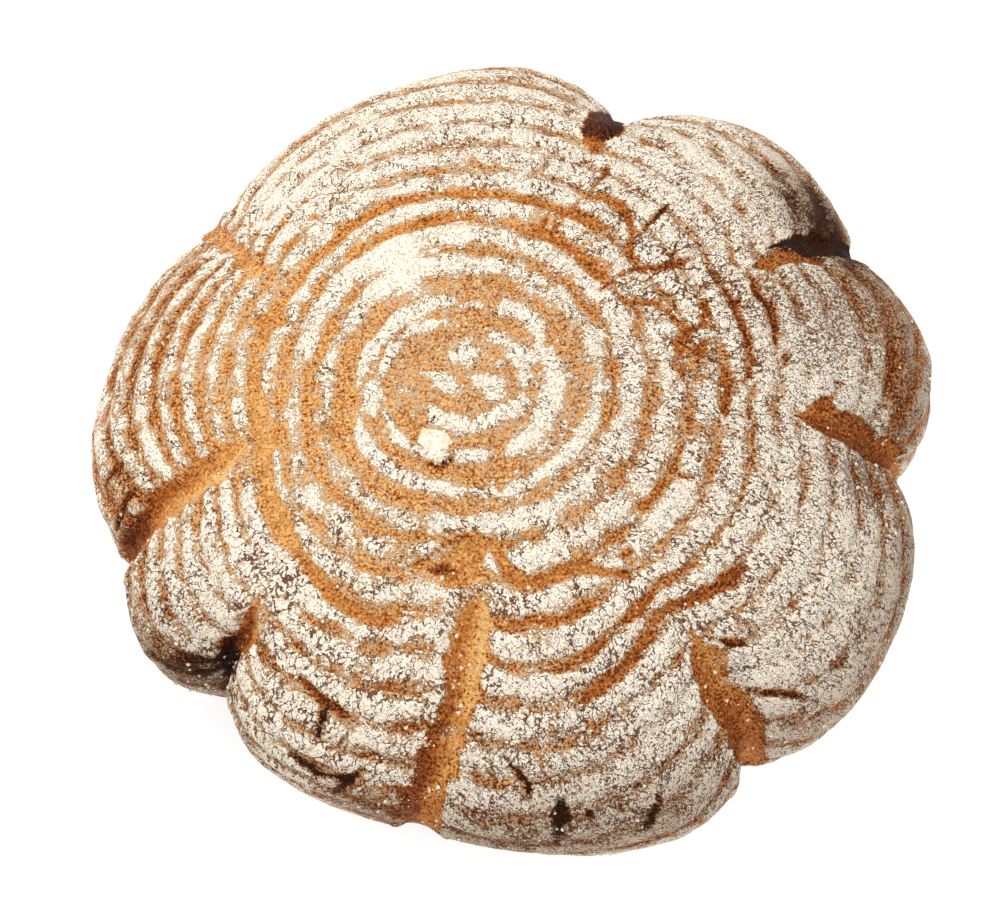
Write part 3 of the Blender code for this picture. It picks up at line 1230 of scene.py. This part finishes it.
        # Painted shade with toasting: the flour turns grey-brown where this mark is high.
        toast = bench.attribute("toast")
        thinly = covers[0] * (self.thin_share - toast * self.toast_and_shade_loss)
        thin = bench.mix_colour(thinly, tones[0], linear(*self.flour_thin))
        coat = bench.mix_colour(covers[1], thin, tones[1])
        coat = bench.mix_colour(toast * covers[1], coat, linear(*self.toasted_and_shaded))
        dark = (cracks[0] * self.crack_share).larger(cracks[1] * self.split_share)
        return bench.mix_colour(dark, coat, linear(*self.crack))


@dataclass(frozen=True)
class FlourFinish:
    """Loose flour."""

    colour: tuple[int, int, int] = (254, 244, 224)
    shade: tuple[int, int, int] = (226, 206, 176)
    roughness: float = 0.95
    gloss: float = 0.1
    mottle_scale: float = 900.0
    shade_edge: tuple[float, float] = (0.3, 0.65)
    grain_height: float = 0.35 * MM

    def build(self) -> bpy.types.Material:
        """Makes a matt, faintly mottled white.

        Returns:
            The material.
        """
        bench = MaterialBench("loose_flour")
        place = bench.node("ShaderNodeTexCoord", output="Object")
        mottle = bench.noise(place, self.mottle_scale)
        colour = bench.mix_colour(mottle.ramp(*self.shade_edge), linear(*self.shade), linear(*self.colour))
        values = {
            "Base Color": colour,
            "Roughness": self.roughness,
            "Normal": bench.bumped(mottle * self.grain_height),
            "Specular IOR Level": self.gloss,
        }
        return bench.finished(values)


# ------------------------------------------------------------------------------------------- the pieces


@dataclass
class CrustPiece:
    """The loaf's skin as one closed mesh with its marks and its own UV map.

    A zone is where something begins and the length over which it comes in, in metres from the crown or in
    row steps. A wander is metres by which edges stray. On the map, 1 is the whole width.
    """

    columns: int = 640
    dome_rows: int = 110
    edge_rows: int = 34
    base_rows: int = 8
    crowding: float = 0.30
    ringed_zone: tuple[float, float] = (31.0 * MM, 6.0 * MM)
    outer_zone: tuple[float, float] = (55.0 * MM, 50.0 * MM)
    flank_zone: tuple[float, float] = (1.15, 0.7)
    crumbless_zone: tuple[float, float] = (1.3, 0.3)
    uncut_zone: tuple[float, float] = (1.55, 0.35)
    pale_cut_zone: tuple[float, float] = (0.98, 0.35)
    relief_zone: tuple[float, float] = (0.02, 0.05)
    smooth_zone: tuple[float, float] = (1.7, 0.3)
    crown_mottle: float = 0.5
    crown_flour: float = -0.75
    band_flour: float = 2.0
    ridge: float = 0.42 * MM
    torn_bareness: float = 0.8
    cut_soft_edge: float = 1.0 * MM
    cut_stray: float = 2.0
    cut_lead: float = 0.1
    narrowest_cut: float = 1e-3 * MM
    groove_reach: float = 1.25
    lip_place: float = 1.6
    foot_cut_darkening: float = -0.2
    outer_bake: float = 0.16
    # Below the waist the flank is darker and greyer: browner crust and painted shade.
    flank_bake_and_shade: float = 0.45
    flank_flour: float = -0.7
    flank_toast_and_shade: float = 0.4
    flank_stripe_loss: float = 0.5
    most_stripe: float = 1.2
    crumb_level: float = 0.4
    most_crumbs: float = 2.0
    top_map_radius: float = 0.495
    base_map_radius: float = 0.068
    base_map_middle: float = 0.073
    edge_wander: tuple[Cloud, ...] = (Cloud(9, 3.1, 1.2 * MM), Cloud(2.5, 7.7, 0.5 * MM))
    cut_wander: tuple[Cloud, ...] = (Cloud(5, 12.2, 1.3 * MM),)
    ring_wander: tuple[Cloud, ...] = (Cloud(11, 11.3, 0.09), Cloud(4, 2.9, 0.07))
    flour_clouds: tuple[Cloud, ...] = (Cloud(16, 6.1, 0.45), Cloud(6, 3.3, 0.8), Cloud(3, 8.8, 0.7))
    crackle_clouds: tuple[Cloud, ...] = (Cloud(7, 9.4, 1.0),)
    plate_clouds: tuple[Cloud, ...] = (Cloud(22, 8.2, 0.5),)
    stripe_clouds: tuple[Cloud, ...] = (Cloud(12, 4.4, 0.6),)
    crumb_clouds: tuple[Cloud, ...] = (Cloud(4, 6.6, 3.0),)
    lumps: tuple[Cloud, ...] = (Cloud(34, 1.3, 1.1 * MM), Cloud(7, 5.9, 0.45 * MM))
    rings: CaneRings = field(default_factory=CaneRings)
    finish: CrustFinish = field(default_factory=CrustFinish)

    def __post_init__(self) -> None:
        """Reads the solid's box and sets the form into it."""
        low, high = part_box(NODE)
        self.low, self.high = np.array(low), np.array(high)
        self.form = LoafForm(height=float(self.high[2] - self.low[2]))
        self._set_placing()

    def _set_placing(self) -> None:
        """Finds the shift and scale in plan that lay the form over the solid."""
        azimuth, step = np.meshgrid(np.linspace(0, FULL_TURN, 721), np.linspace(0, FOOT_STEP, 81))
        plain = self.form.surface(azimuth, step, np.zeros_like(azimuth)).reshape(-1, 3)
        self.plan_centre = (plain[:, :2].min(axis=0) + plain[:, :2].max(axis=0)) / 2
        self.plan_scale = (self.high[0] - self.low[0]) / np.ptp(plain[:, 0])

    def placed(self, points: np.ndarray) -> np.ndarray:
        """Points of the form moved into the frame.

        Args:
            points: Points of the form in metres.

        Returns:
            Points in the frame.
        """
        middle = (self.low[:2] + self.high[:2]) / 2
        plan = (points[..., :2] - self.plan_centre) * self.plan_scale + middle
        return np.concatenate([plan, points[..., 2:] + self.low[2]], axis=-1)

    def column_azimuths(self) -> np.ndarray:
        """The azimuth of each column and of the first one again, crowded towards the valleys.

        Returns:
            Growing angles in radians.
        """
        per_lobe = self.columns // len(self.form.cuts)
        share = np.arange(per_lobe) / per_lobe
        crowded = share - self.crowding * np.sin(FULL_TURN * share) / FULL_TURN
        angles = []
        for number in range(len(self.form.cuts)):
            begin = self.form.cut_angle(number)
            angles.append(begin + turn_between(begin, self.form.cut_angle(number + 1)) * crowded)
        return np.concatenate([*angles, angles[0][:1] + FULL_TURN])

    def row_steps(self) -> np.ndarray:
        """The step of each row from the crown to the middle of the base.

        Returns:
            Growing row steps.
        """
        dome = np.linspace(0.0, WAIST_STEP, self.dome_rows + 1)
        edge = np.linspace(WAIST_STEP, FOOT_STEP, self.edge_rows + 1)[1:]
        base = np.linspace(FOOT_STEP, MIDDLE_STEP, self.base_rows + 1)[1:]
        return np.concatenate([dome, edge, base])

    def arcs(self, azimuth: np.ndarray, step: np.ndarray) -> np.ndarray:
        """Metres along the uncut skin from the crown to each point, row by row.

        Args:
            azimuth: Angles in radians.
            step: Row steps of the same shape.

        Returns:
            Lengths in metres.
        """
        points = self.form.uncut(azimuth, step)
        lengths = np.linalg.norm(np.diff(points, axis=0), axis=-1)
        return np.concatenate([np.zeros((1, azimuth.shape[1])), np.cumsum(lengths, axis=0)])

    def cut_faces(
        self, azimuth: np.ndarray, step: np.ndarray, arc: np.ndarray, wander: np.ndarray
    ) -> tuple[np.ndarray, np.ndarray, np.ndarray]:
        """Where the cuts laid bare crust open, how far the skin sinks there and how much darker it is, as
        bake and painted shade.

        Args:
            azimuth: Angles in radians.
            step: Row steps.
            arc: Metres from the crown.
            wander: Metres by which the edges stray.

        Returns:
            The bare share, the depth in metres, less than 0 on a lip, and the extra darkening, bake and
            painted shade, at each point.
        """
        bare, sunk, darkened = np.zeros((3, *azimuth.shape))
        points = self.form.uncut(azimuth, step)
        plan = np.linalg.norm(points[..., :2], axis=-1)
        ragged = wander * self.cut_stray + cloudy(points, self.cut_wander)
        fade = 1.0 - rise(step, *self.uncut_zone)
        low = rise(step, *self.pale_cut_zone)
        for number, cut in enumerate(self.form.cuts):
            face = cut.face
            sideways = self.form.cut_offset(number, azimuth, step) * plan + ragged
            opened = smooth_step((arc / MM - face.begins) / face.taper + self.cut_lead)
            half = np.where(sideways < 0, face.before, face.after) * MM * opened
            half = np.maximum(half, self.narrowest_cut)
            inside = half - np.abs(sideways)
            near = smooth_step(inside / self.cut_soft_edge + 0.5) * (opened > 0) * fade
            bare = np.maximum(bare, near * face.openness)
            # Painted shade: the face's tone, darker on the wall before the line, held to a paler brown near
            # the foot.
            shade = face.bake + face.edge_shade * smooth_step(0.5 - sideways / half)
            shade += (np.minimum(shade, self.foot_cut_darkening) - shade) * low
            darkened = np.where(near > 0, near * shade, darkened)
            hollow = face.groove * MM * smooth_step(self.groove_reach - np.abs(sideways) / half)
            lip = face.lip * MM * np.exp(-((inside / MM + self.lip_place) ** 2) / 2.0)
            sunk += (hollow - lip) * opened * fade
        return bare, sunk, darkened

    def tears(
        self, azimuth: np.ndarray, arc: np.ndarray, wander: np.ndarray
    ) -> tuple[np.ndarray, np.ndarray, np.ndarray]:
        """Where the crust tore, how many metres it sank there and how much darker it baked.

        Args:
            azimuth: Angles in radians.
            arc: Metres along the skin from the crown.
            wander: Metres by which the edges stray.

        Returns:
            The torn share, the depth and the extra darkening at each point.
        """
        torn, sunk, darkened = np.zeros((3, *azimuth.shape))
        for tear in TEARS:
            near = tear.nearness(azimuth, arc, wander)
            torn = np.maximum(torn, near)
            sunk = np.maximum(sunk, near * tear.depth)
            darkened = np.where(np.abs(near * tear.bake) > np.abs(darkened), near * tear.bake, darkened)
        return torn, sunk, darkened

    def marks(self, azimuth: np.ndarray, step: np.ndarray, arc: np.ndarray, turns: np.ndarray) -> SkinMarks:
        """Works out what lies at each point of the skin.

        Args:
            azimuth: Angles in radians.
            step: Row steps.
            arc: Metres along the skin from the crown.
            turns: Ring turns.

        Returns:
            The marks, among them how far the skin stands out.
        """
        points = self.form.uncut(azimuth, step)
        wander = cloudy(points, self.edge_wander)
        beyond = rise(arc, *self.ringed_zone)
        banded = np.max([band.nearness(azimuth, arc, wander) for band in CROWN_BANDS], axis=0)
        bare, sunk, cut_bake_and_shade = self.cut_faces(azimuth, step, arc, wander)
        torn, torn_depth, torn_bake_and_shade = self.tears(azimuth, arc, wander)
        sunk = np.where(torn > 0, np.maximum(sunk, torn_depth), sunk)
        # Painted shade with browning: below the waist the crust darkens and the flour thins and greys.
        flank = rise(step, *self.flank_zone)
        found = {
            mark: LEVELS.get(mark, 0.0) + sum(patch.weight(azimuth, arc) for patch in PATCHES[mark])
            for mark in Mark
        }
        mottle = cloudy(points, self.flour_clouds)
        mottle *= self.crown_mottle + (1.0 - self.crown_mottle) * beyond
        crown = (banded * self.band_flour + self.crown_flour) * (1.0 - beyond)
        found[Mark.FLOUR] += mottle + crown + flank * self.flank_flour
        found[Mark.CRACKLE] += cloudy(points, self.crackle_clouds)
        found[Mark.PLATES] += cloudy(points, self.plate_clouds)
        outer = rise(arc, *self.outer_zone) * self.outer_bake
        found[Mark.BAKE] += cut_bake_and_shade + torn_bake_and_shade + outer + flank * self.flank_bake_and_shade
        found[Mark.TOAST] = np.clip(found[Mark.TOAST] + flank * self.flank_toast_and_shade, 0.0, 1.0)
        stripe = (found[Mark.STRIPE] + cloudy(points, self.stripe_clouds)) * beyond
        found[Mark.STRIPE] = np.clip(stripe * (1.0 - flank * self.flank_stripe_loss), 0.0, self.most_stripe)
        turns = turns + found.pop(Mark.RINGS) + cloudy(points, self.ring_wander)
        clumps = np.clip(cloudy(points, self.crumb_clouds) + self.crumb_level, 0.0, self.most_crumbs)
        clumps *= 1.0 - rise(step, *self.crumbless_zone)
        crumbs = np.clip(found.pop(Mark.CRUMBS), 0.0, None) * clumps
        trough = (0.5 - 0.5 * np.cos(turns * FULL_TURN)) ** self.finish.trough_sharpness
        corded = (1.0 - 2.0 * trough) * beyond + (banded * 2.0 - 1.0) * (1.0 - beyond)
        relief = corded * self.ridge * (1.0 - np.maximum(bare, torn)) + cloudy(points, self.lumps)
        on_skin = rise(step, *self.relief_zone) * (1.0 - rise(step, *self.smooth_zone))
        layers = {mark.value: values for mark, values in found.items()}
        layers |= {"ring_turns": turns, "bare": np.maximum(bare, torn * self.torn_bareness)}
        return SkinMarks(layers=layers, crumbs=crumbs, raised=relief * on_skin - sunk)

    def build(self) -> bpy.types.Object:
        """Makes the crust.

        Returns:
            The finished object, at the origin.
        """
        azimuth, step = np.meshgrid(self.column_azimuths(), self.row_steps())
        arc = self.arcs(azimuth, step)
        marks = self.marks(azimuth, step, arc, self.rings.turns(self.form, azimuth, step, arc))
        self.azimuth, self.arc, self.crumbs = azimuth, arc, marks.crumbs
        self.points = self.placed(self.form.surface(azimuth, step, marks.raised))
        mesh = self._grid_mesh()
        for name, values in marks.layers.items():
            self._store(mesh, name, self.at_corners(values))
        self._keep_places(mesh)
        self._lay_out_uv(mesh, step)
        mesh.materials.append(self.finish.build())
        mesh.shade_smooth()
        return link_object("crust", mesh)

    def seat(self, azimuth: float, arc: float) -> tuple[Vector, Vector]:
        """Finds a place on the finished skin.

        Args:
            azimuth: Degrees.
            arc: Metres along the skin from the crown.

        Returns:
            The point and the direction outwards.
        """
        column = int(np.argmin(np.abs(signed_turn(self.azimuth[0] - math.radians(azimuth)))))
        column = min(max(column, 2), self.columns - 2)
        row = int(np.argmin(np.abs(self.arc[:, column] - arc)))
        outward = self.points[row + 2, column] - self.points[row - 2, column]
        around = self.points[row, column + 2] - self.points[row, column - 2]
        return Vector(self.points[row, column]), Vector(np.cross(outward, around)).normalized()

    def on_vertices(self, values: np.ndarray) -> np.ndarray:
        """Values of the grid in the order of the mesh's vertices."""
        inner = values[1:-1, :-1].reshape(-1, *values.shape[2:])
        return np.concatenate([values[:1, 0], inner, values[-1:, 0]])

    def at_corners(self, values: np.ndarray) -> np.ndarray:
        """Values of the grid in the order of the mesh's corners."""
        return values[self.corner_row, self.corner_column]

    @staticmethod
    def _faces(row: np.ndarray, column: np.ndarray, walk: Sequence[tuple[int, int]]) -> np.ndarray:
        """The corners, as rows and columns, of a face that walks round from each place."""
        corners = [np.stack([row + down, column + right], -1) for down, right in walk]
        return np.stack(corners, 1).reshape(-1, 2)

    def _grid_mesh(self) -> bpy.types.Mesh:
        """Makes a closed mesh of the grid of points, whose first and last rows are one point each.

        Returns:
            The mesh. corner_row and corner_column hold each corner's place in the grid, face_sizes each
            face's number of corners and face_starts its first corner.
        """
        rows, columns = self.points.shape[0] - 1, self.points.shape[1] - 1
        row, column = (part.ravel() for part in np.mgrid[1 : rows - 1, 0:columns])
        around = np.arange(columns)
        bands = self._faces(row, column, ((0, 0), (1, 0), (1, 1), (0, 1)))
        cap = self._faces(np.zeros_like(around), around, ((0, 0), (1, 0), (1, 1)))
        foot = self._faces(np.full_like(around, rows), around, ((0, 0), (-1, 1), (-1, 0)))
        self.corner_row, self.corner_column = np.concatenate([bands, cap, foot]).T
        self.face_sizes = np.concatenate([np.full(len(row), 4), np.full(2 * columns, 3)])
        self.face_starts = np.cumsum(self.face_sizes) - self.face_sizes
        vertices = self.on_vertices(self.points)
        index = 1 + (self.corner_row - 1) * columns + self.corner_column % columns
        index = np.clip(index, 0, len(vertices) - 1)
        quads, threes = index[: len(bands)].reshape(-1, 4), index[len(bands) :].reshape(-1, 3)
        mesh = bpy.data.meshes.new("crust")
        mesh.from_pydata(vertices.tolist(), [], quads.tolist() + threes.tolist())
        mesh.validate()
        return mesh

    @staticmethod
    def _store(mesh: bpy.types.Mesh, name: str, values: np.ndarray) -> None:
        """Stores a number or a vector on each corner, where the ring count may jump at the seam."""
        kind, part = ("FLOAT", "value") if values.ndim == 1 else ("FLOAT_VECTOR", "vector")
        mesh.attributes.new(name, kind, "CORNER").data.foreach_set(part, values.astype(np.float32).ravel())

    def _keep_places(self, mesh: bpy.types.Mesh) -> None:
        """Stores each corner's place: along the ring within its lobe, out from the crown, and both.

        Args:
            mesh: The crust's mesh.
        """
        left = np.repeat(np.minimum.reduceat(self.corner_column, self.face_starts), self.face_sizes)
        per_lobe = self.columns // len(self.form.cuts)
        middle = self.azimuth[0, left // per_lobe * per_lobe + per_lobe // 2]
        turn, reach = self.at_corners(self.azimuth), self.at_corners(self.arc)
        self._store(mesh, "along", reach * (turn - middle))
        self._store(mesh, "arc", reach)
        flat = [reach * np.cos(turn), reach * np.sin(turn), np.zeros_like(reach)]
        self._store(mesh, "skin", np.stack(flat, -1))

    def _lay_out_uv(self, mesh: bpy.types.Mesh, step: np.ndarray) -> None:
        """Lays the top out as a large disc by its distance from the crown, and the base as a small one.

        Args:
            mesh: The crust's mesh.
            step: The row step of each place in the grid.
        """
        foot = self.dome_rows + self.edge_rows
        around = np.stack([np.cos(self.azimuth), np.sin(self.azimuth)], -1)
        outwards = self.arc / self.arc[foot].max()
        inwards = np.clip(MIDDLE_STEP - step, 0.0, 1.0)
        top = around * (outwards * self.top_map_radius)[..., None] + 0.5
        low = around * (inwards * self.base_map_radius)[..., None] + self.base_map_middle
        on_base = np.repeat(np.maximum.reduceat(self.corner_row, self.face_starts) > foot, self.face_sizes)
        places = np.where(on_base[:, None], self.at_corners(low), self.at_corners(top))
        mesh.uv_layers.new(name=MAP_NAME).data.foreach_set("uv", places.astype(np.float32).ravel())


@dataclass
class FlourLump:
    """The clot of flour that dropped beside the crown.

    Azimuth is degrees. Each of the bumps is how many there are across the lump's reach and how high.
    """

    azimuth: float = 234.6
    arc: float = 17.2 * MM
    length: float = 9.6 * MM
    width: float = 7.8 * MM
    thickness: float = 1.0 * MM
    sunk: float = 0.5 * MM
    unevenness: float = 0.28
    outline_scale: float = 1.6
    outline_level: float = 0.4
    bumps: tuple[tuple[float, float], ...] = ((4.0, 0.08), (9.0, 0.04))
    flatness: float = 0.45
    finish: FlourFinish = field(default_factory=FlourFinish)

    def build(self, crust: CrustPiece) -> bpy.types.Object:
        """Makes the lump.

        Args:
            crust: The finished crust that it lies on.

        Returns:
            The finished object, at the origin.
        """
        seat, normal = crust.seat(self.azimuth, self.arc)
        side = Vector((1.0, 0.0, 0.0)).cross(normal).normalized()
        along = side.cross(normal).normalized()
        bm = bmesh.new()
        bmesh.ops.create_icosphere(bm, subdivisions=5, radius=1.0)
        for vertex in bm.verts:
            vertex.co = seat + self._moulded(vertex.co, along, side, normal)
        bmesh.ops.recalc_face_normals(bm, faces=bm.faces)
        mesh = bpy.data.meshes.new("flour_lump")
        bm.to_mesh(mesh)
        bm.free()
        mesh.materials.append(self.finish.build())
        mesh.shade_smooth()
        return link_object("flour_lump", mesh)

    def _moulded(self, place: Vector, along: Vector, side: Vector, normal: Vector) -> Vector:
        """A point of a ball of radius 1, pressed into the lump's shape and laid on the skin.

        Args:
            place: The point of the ball.
            along: The lump's long direction.
            side: The direction across it.
            normal: The direction out of the skin.

        Returns:
            The offset in metres from the lump's seat.
        """
        flat = Vector((place.x, place.y, self.outline_level))
        reach = 1.0 + self.unevenness * noise.noise(flat * self.outline_scale)
        rough = 1.0 + sum(share * noise.noise(place * scale) for scale, share in self.bumps)
        lift = math.copysign(abs(place.z) ** self.flatness, place.z) * rough
        height = lift * self.thickness if lift > 0 else lift * self.sunk * 2
        across = along * (place.x * reach * rough * self.length / 2)
        return across + side * (place.y * reach * rough * self.width / 2) + normal * (height - self.sunk)


@dataclass
class FlourCrumbs:
    """Crumbs of flour on the crust, thickest in the floors of the lower cuts."""

    density: float = 42000.0
    smallest: float = 0.14 * MM
    largest: float = 0.65 * MM
    unevenness: float = 1.0
    seed: int = 5
    size_seed: int = 11
    grain_corners: int = 60
    map_margin: float = 0.08
    finish: FlourFinish = field(default_factory=FlourFinish)

    def build(self, crust: CrustPiece, ground: bpy.types.Object) -> bpy.types.Object:
        """Makes the crumbs as one plain mesh.

        Args:
            crust: The crust, which says where crumbs are common.
            ground: The crust's object.

        Returns:
            The finished object, at the origin.
        """
        host_mesh = ground.data.copy()
        layer = host_mesh.attributes.new("crumbs", "FLOAT", "POINT")
        layer.data.foreach_set("value", crust.on_vertices(crust.crumbs).astype(np.float32))
        host = link_object("crumb_ground", host_mesh)
        modifier = host.modifiers.new("crumbs", "NODES")
        modifier.node_group = self._tree()
        values = {
            "Density": self.density,
            "Smallest": self.smallest,
            "Largest": self.largest,
            "Unevenness": self.unevenness,
            "Seed": self.seed,
            "Finish": self.finish.build(),
        }
        for item in modifier.node_group.interface.items_tree:
            if item.name in values:
                modifier[item.identifier] = values[item.name]
        evaluated = host.evaluated_get(bpy.context.evaluated_depsgraph_get())
        mesh = bpy.data.meshes.new_from_object(evaluated)
        host.modifiers.remove(modifier)
        bpy.data.objects.remove(host)
        bpy.data.meshes.remove(host_mesh)
        mesh.name = "flour_crumbs"
        self._lay_out_uv(mesh)
        return link_object("flour_crumbs", mesh)

    def _tree(self) -> bpy.types.NodeTree:
        """Makes the tree that scatters lumpy grains over the ground's faces.

        Returns:
            A geometry tree with named inputs.
        """
        tree = bpy.data.node_groups.new("crumb_scatter", "GeometryNodeTree")
        kinds = {
            "Geometry": "NodeSocketGeometry",
            "Density": "NodeSocketFloat",
            "Smallest": "NodeSocketFloat",
            "Largest": "NodeSocketFloat",
            "Unevenness": "NodeSocketFloat",
            "Seed": "NodeSocketInt",
            "Finish": "NodeSocketMaterial",
        }
        for name, kind in kinds.items():
            tree.interface.new_socket(name, in_out="INPUT", socket_type=kind)
        tree.interface.new_socket("Geometry", in_out="OUTPUT", socket_type="NodeSocketGeometry")
        bench = NodeBench(tree)
        given = {name: bench.node("NodeGroupInput", output=name) for name in kinds}
        common = bench.node("GeometryNodeInputNamedAttribute", {"data_type": "FLOAT"}, {"Name": "crumbs"})
        points = bench.node(
            "GeometryNodeDistributePointsOnFaces",
            {"distribute_method": "RANDOM"},
            {"Mesh": given["Geometry"], "Density": common * given["Density"], "Seed": given["Seed"]},
        )
        spun = bench.node(
            "FunctionNodeRandomValue",
            {"data_type": "FLOAT_VECTOR"},
            {0: (0.0, 0.0, 0.0), 1: (FULL_TURN, FULL_TURN, FULL_TURN), "Seed": given["Seed"]},
        )
        drawn = {2: 0.0, 3: 1.0, "Seed": self.size_seed}
        share = bench.node("FunctionNodeRandomValue", {"data_type": "FLOAT"}, drawn, output=1)
        size = given["Smallest"] + (given["Largest"] - given["Smallest"]) * share * share
        grain = self._grain(bench, given["Unevenness"])
        scattered = {"Points": points, "Instance": grain, "Rotation": spun, "Scale": size}
        crumbs = bench.node("GeometryNodeInstanceOnPoints", {}, scattered)
        real = bench.node("GeometryNodeRealizeInstances", {}, {"Geometry": crumbs})
        dressed = bench.node("GeometryNodeSetMaterial", {}, {"Geometry": real, "Material": given["Finish"]})
        bench.add("NodeGroupOutput", {}, {0: dressed})
        return tree

    @staticmethod
    def _grain(bench: NodeBench, unevenness: Socket) -> Socket:
        """One lumpy grain of about radius 1, with its own map.

        Args:
            bench: The tree's bench.
            unevenness: How far its skin strays from a ball.

        Returns:
            The grain's geometry.
        """
        ball = bench.add("GeometryNodeMeshIcoSphere", {}, {"Radius": 1.0, "Subdivisions": 1})
        skin, ball_map = (Socket(bench, ball.outputs[name]) for name in ("Mesh", "UV Map"))
        kept = bench.node(
            "GeometryNodeStoreNamedAttribute",
            {"data_type": "FLOAT2", "domain": "CORNER"},
            {"Geometry": skin, "Name": "grain_map", "Value": ball_map},
        )
        cloud = bench.node("ShaderNodeTexNoise", {}, {"Scale": 0.9, "Detail": 1.0}, output="Fac")
        values = {0: bench.node("GeometryNodeInputNormal"), "Scale": (cloud - 0.5) * unevenness * 2.0}
        shift = bench.node("ShaderNodeVectorMath", {"operation": "SCALE"}, values)
        uneven = bench.node("GeometryNodeSetPosition", {}, {"Geometry": kept, "Offset": shift})
        return bench.node("GeometryNodeSetShadeSmooth", {}, {"Geometry": uneven, "Shade Smooth": False})

    def _lay_out_uv(self, mesh: bpy.types.Mesh) -> None:
        """Gives each grain a square of the map to itself, inside a margin.

        Args:
            mesh: The crumbs' mesh.
        """
        corners = len(mesh.loops)
        own = np.empty(corners * 2, np.float32)
        mesh.attributes["grain_map"].data.foreach_get("vector", own)
        number = np.arange(corners) // self.grain_corners
        side = math.ceil(math.sqrt(corners / self.grain_corners))
        cell = np.stack([number % side, number // side], -1)
        places = (cell + self.map_margin + own.reshape(-1, 2) * (1.0 - 2.0 * self.map_margin)) / side
        mesh.uv_layers.new(name=MAP_NAME).data.foreach_set("uv", places.astype(np.float32).ravel())
        mesh.attributes.remove(mesh.attributes["grain_map"])


# ------------------------------------------------------------------------------------------- the studio


@dataclass(frozen=True)
class SoftLight:
    """A round area light that looks at the loaf."""

    name: str
    direction: tuple[float, float, float]
    distance: float
    size: float
    power: float
    tint: tuple[float, float, float]

    def build(self, target: Vector) -> bpy.types.Object:
        """Makes the light.

        Args:
            target: The point it looks at.

        Returns:
            The light's object.
        """
        light = bpy.data.lights.new(self.name, "AREA")
        light.shape = "DISK"
        light.size = self.size
        light.energy = self.power
        light.color = self.tint
        obj = link_object(self.name, light)
        obj.location = target + Vector(self.direction).normalized() * self.distance
        obj.rotation_euler = (target - obj.location).to_track_quat("-Z", "Y").to_euler()
        return obj


@dataclass
class Studio:
    """A pale floor, soft lights and the camera."""

    floor_height: float
    elevation: float = 61.65
    distance: float = 0.650
    lens: float = 85.0
    aim: tuple[float, float, float] = (-0.0041, -0.0099, 0.035)
    floor_size: float = 12.0
    sky: float = 0.56
    lights: tuple[SoftLight, ...] = (
        SoftLight("key", (-0.44, 0.42, 0.90), 1.1, 0.5, 7.8, (1.0, 0.985, 0.96)),
        SoftLight("front", (0.35, -0.65, 0.8), 1.3, 0.9, 4.0, (1.0, 1.0, 1.0)),
    )

    def build(self) -> None:
        """Makes the floor, the lights, the world and the camera."""
        self._floor()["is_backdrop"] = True
        target = Vector(self.aim)
        for light in self.lights:
            light.build(target)
        self._world()
        self._camera(target)

    def _floor(self) -> bpy.types.Object:
        """Makes the floor just under the loaf.

        Returns:
            The floor's object.
        """
        bm = bmesh.new()
        bmesh.ops.create_grid(bm, x_segments=1, y_segments=1, size=self.floor_size / 2)
        bmesh.ops.translate(bm, verts=bm.verts, vec=(0.0, 0.0, self.floor_height))
        mesh = bpy.data.meshes.new("floor")
        bm.to_mesh(mesh)
        bm.free()
        mesh.materials.append(self._paper())
        return link_object("floor", mesh)

    @staticmethod
    def _paper() -> bpy.types.Material:
        """Makes a plain white paper.

        Returns:
            The material.
        """
        values = {
            "Base Color": (0.5, 0.5, 0.5, 1.0),
            "Roughness": 0.9,
            "Specular IOR Level": 0.1,
            "Emission Color": (1.0, 1.0, 1.0, 1.0),
            "Emission Strength": 0.76,
        }
        return MaterialBench("studio_paper").finished(values)

    def _world(self) -> None:
        """Sets an even white sky."""
        world = bpy.data.worlds.new("sky")
        world.use_nodes = True
        background = world.node_tree.nodes["Background"]
        background.inputs["Color"].default_value = (1.0, 1.0, 1.0, 1.0)
        background.inputs["Strength"].default_value = self.sky
        bpy.context.scene.world = world
        bpy.context.scene.view_settings.view_transform = "Standard"

    def _camera(self, target: Vector) -> None:
        """Places the camera, which looks down from the front.

        Args:
            target: The point it looks at.
        """
        camera = bpy.data.cameras.new("camera")
        camera.lens = self.lens
        camera.sensor_width = 36.0
        camera.clip_start = 0.01
        obj = link_object("camera", camera)
        tilt = math.radians(self.elevation)
        obj.location = target + Vector((0.0, -math.cos(tilt), math.sin(tilt))) * self.distance
        obj.rotation_euler = (QUARTER_TURN - tilt, 0.0, 0.0)
        bpy.context.scene.camera = obj


def main() -> None:
    """Builds the loaf's looks and the studio round it."""
    logging.basicConfig(level=logging.INFO, format="%(name)s: %(message)s")
    packed_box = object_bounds()
    low, _ = packed_box
    Studio(floor_height=float(low[2]) - FLOOR_GAP).build()
    crust = CrustPiece()
    obj = crust.build()
    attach(obj, BODY)
    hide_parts(NODE)
    LOG.info("crust: %d faces", len(obj.data.polygons))
    for piece in (FlourLump().build(crust), FlourCrumbs().build(crust, obj)):
        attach(piece, BODY)
        LOG.info("%s: %d faces", piece.name, len(piece.data.polygons))


if __name__ == "__main__":
    main()
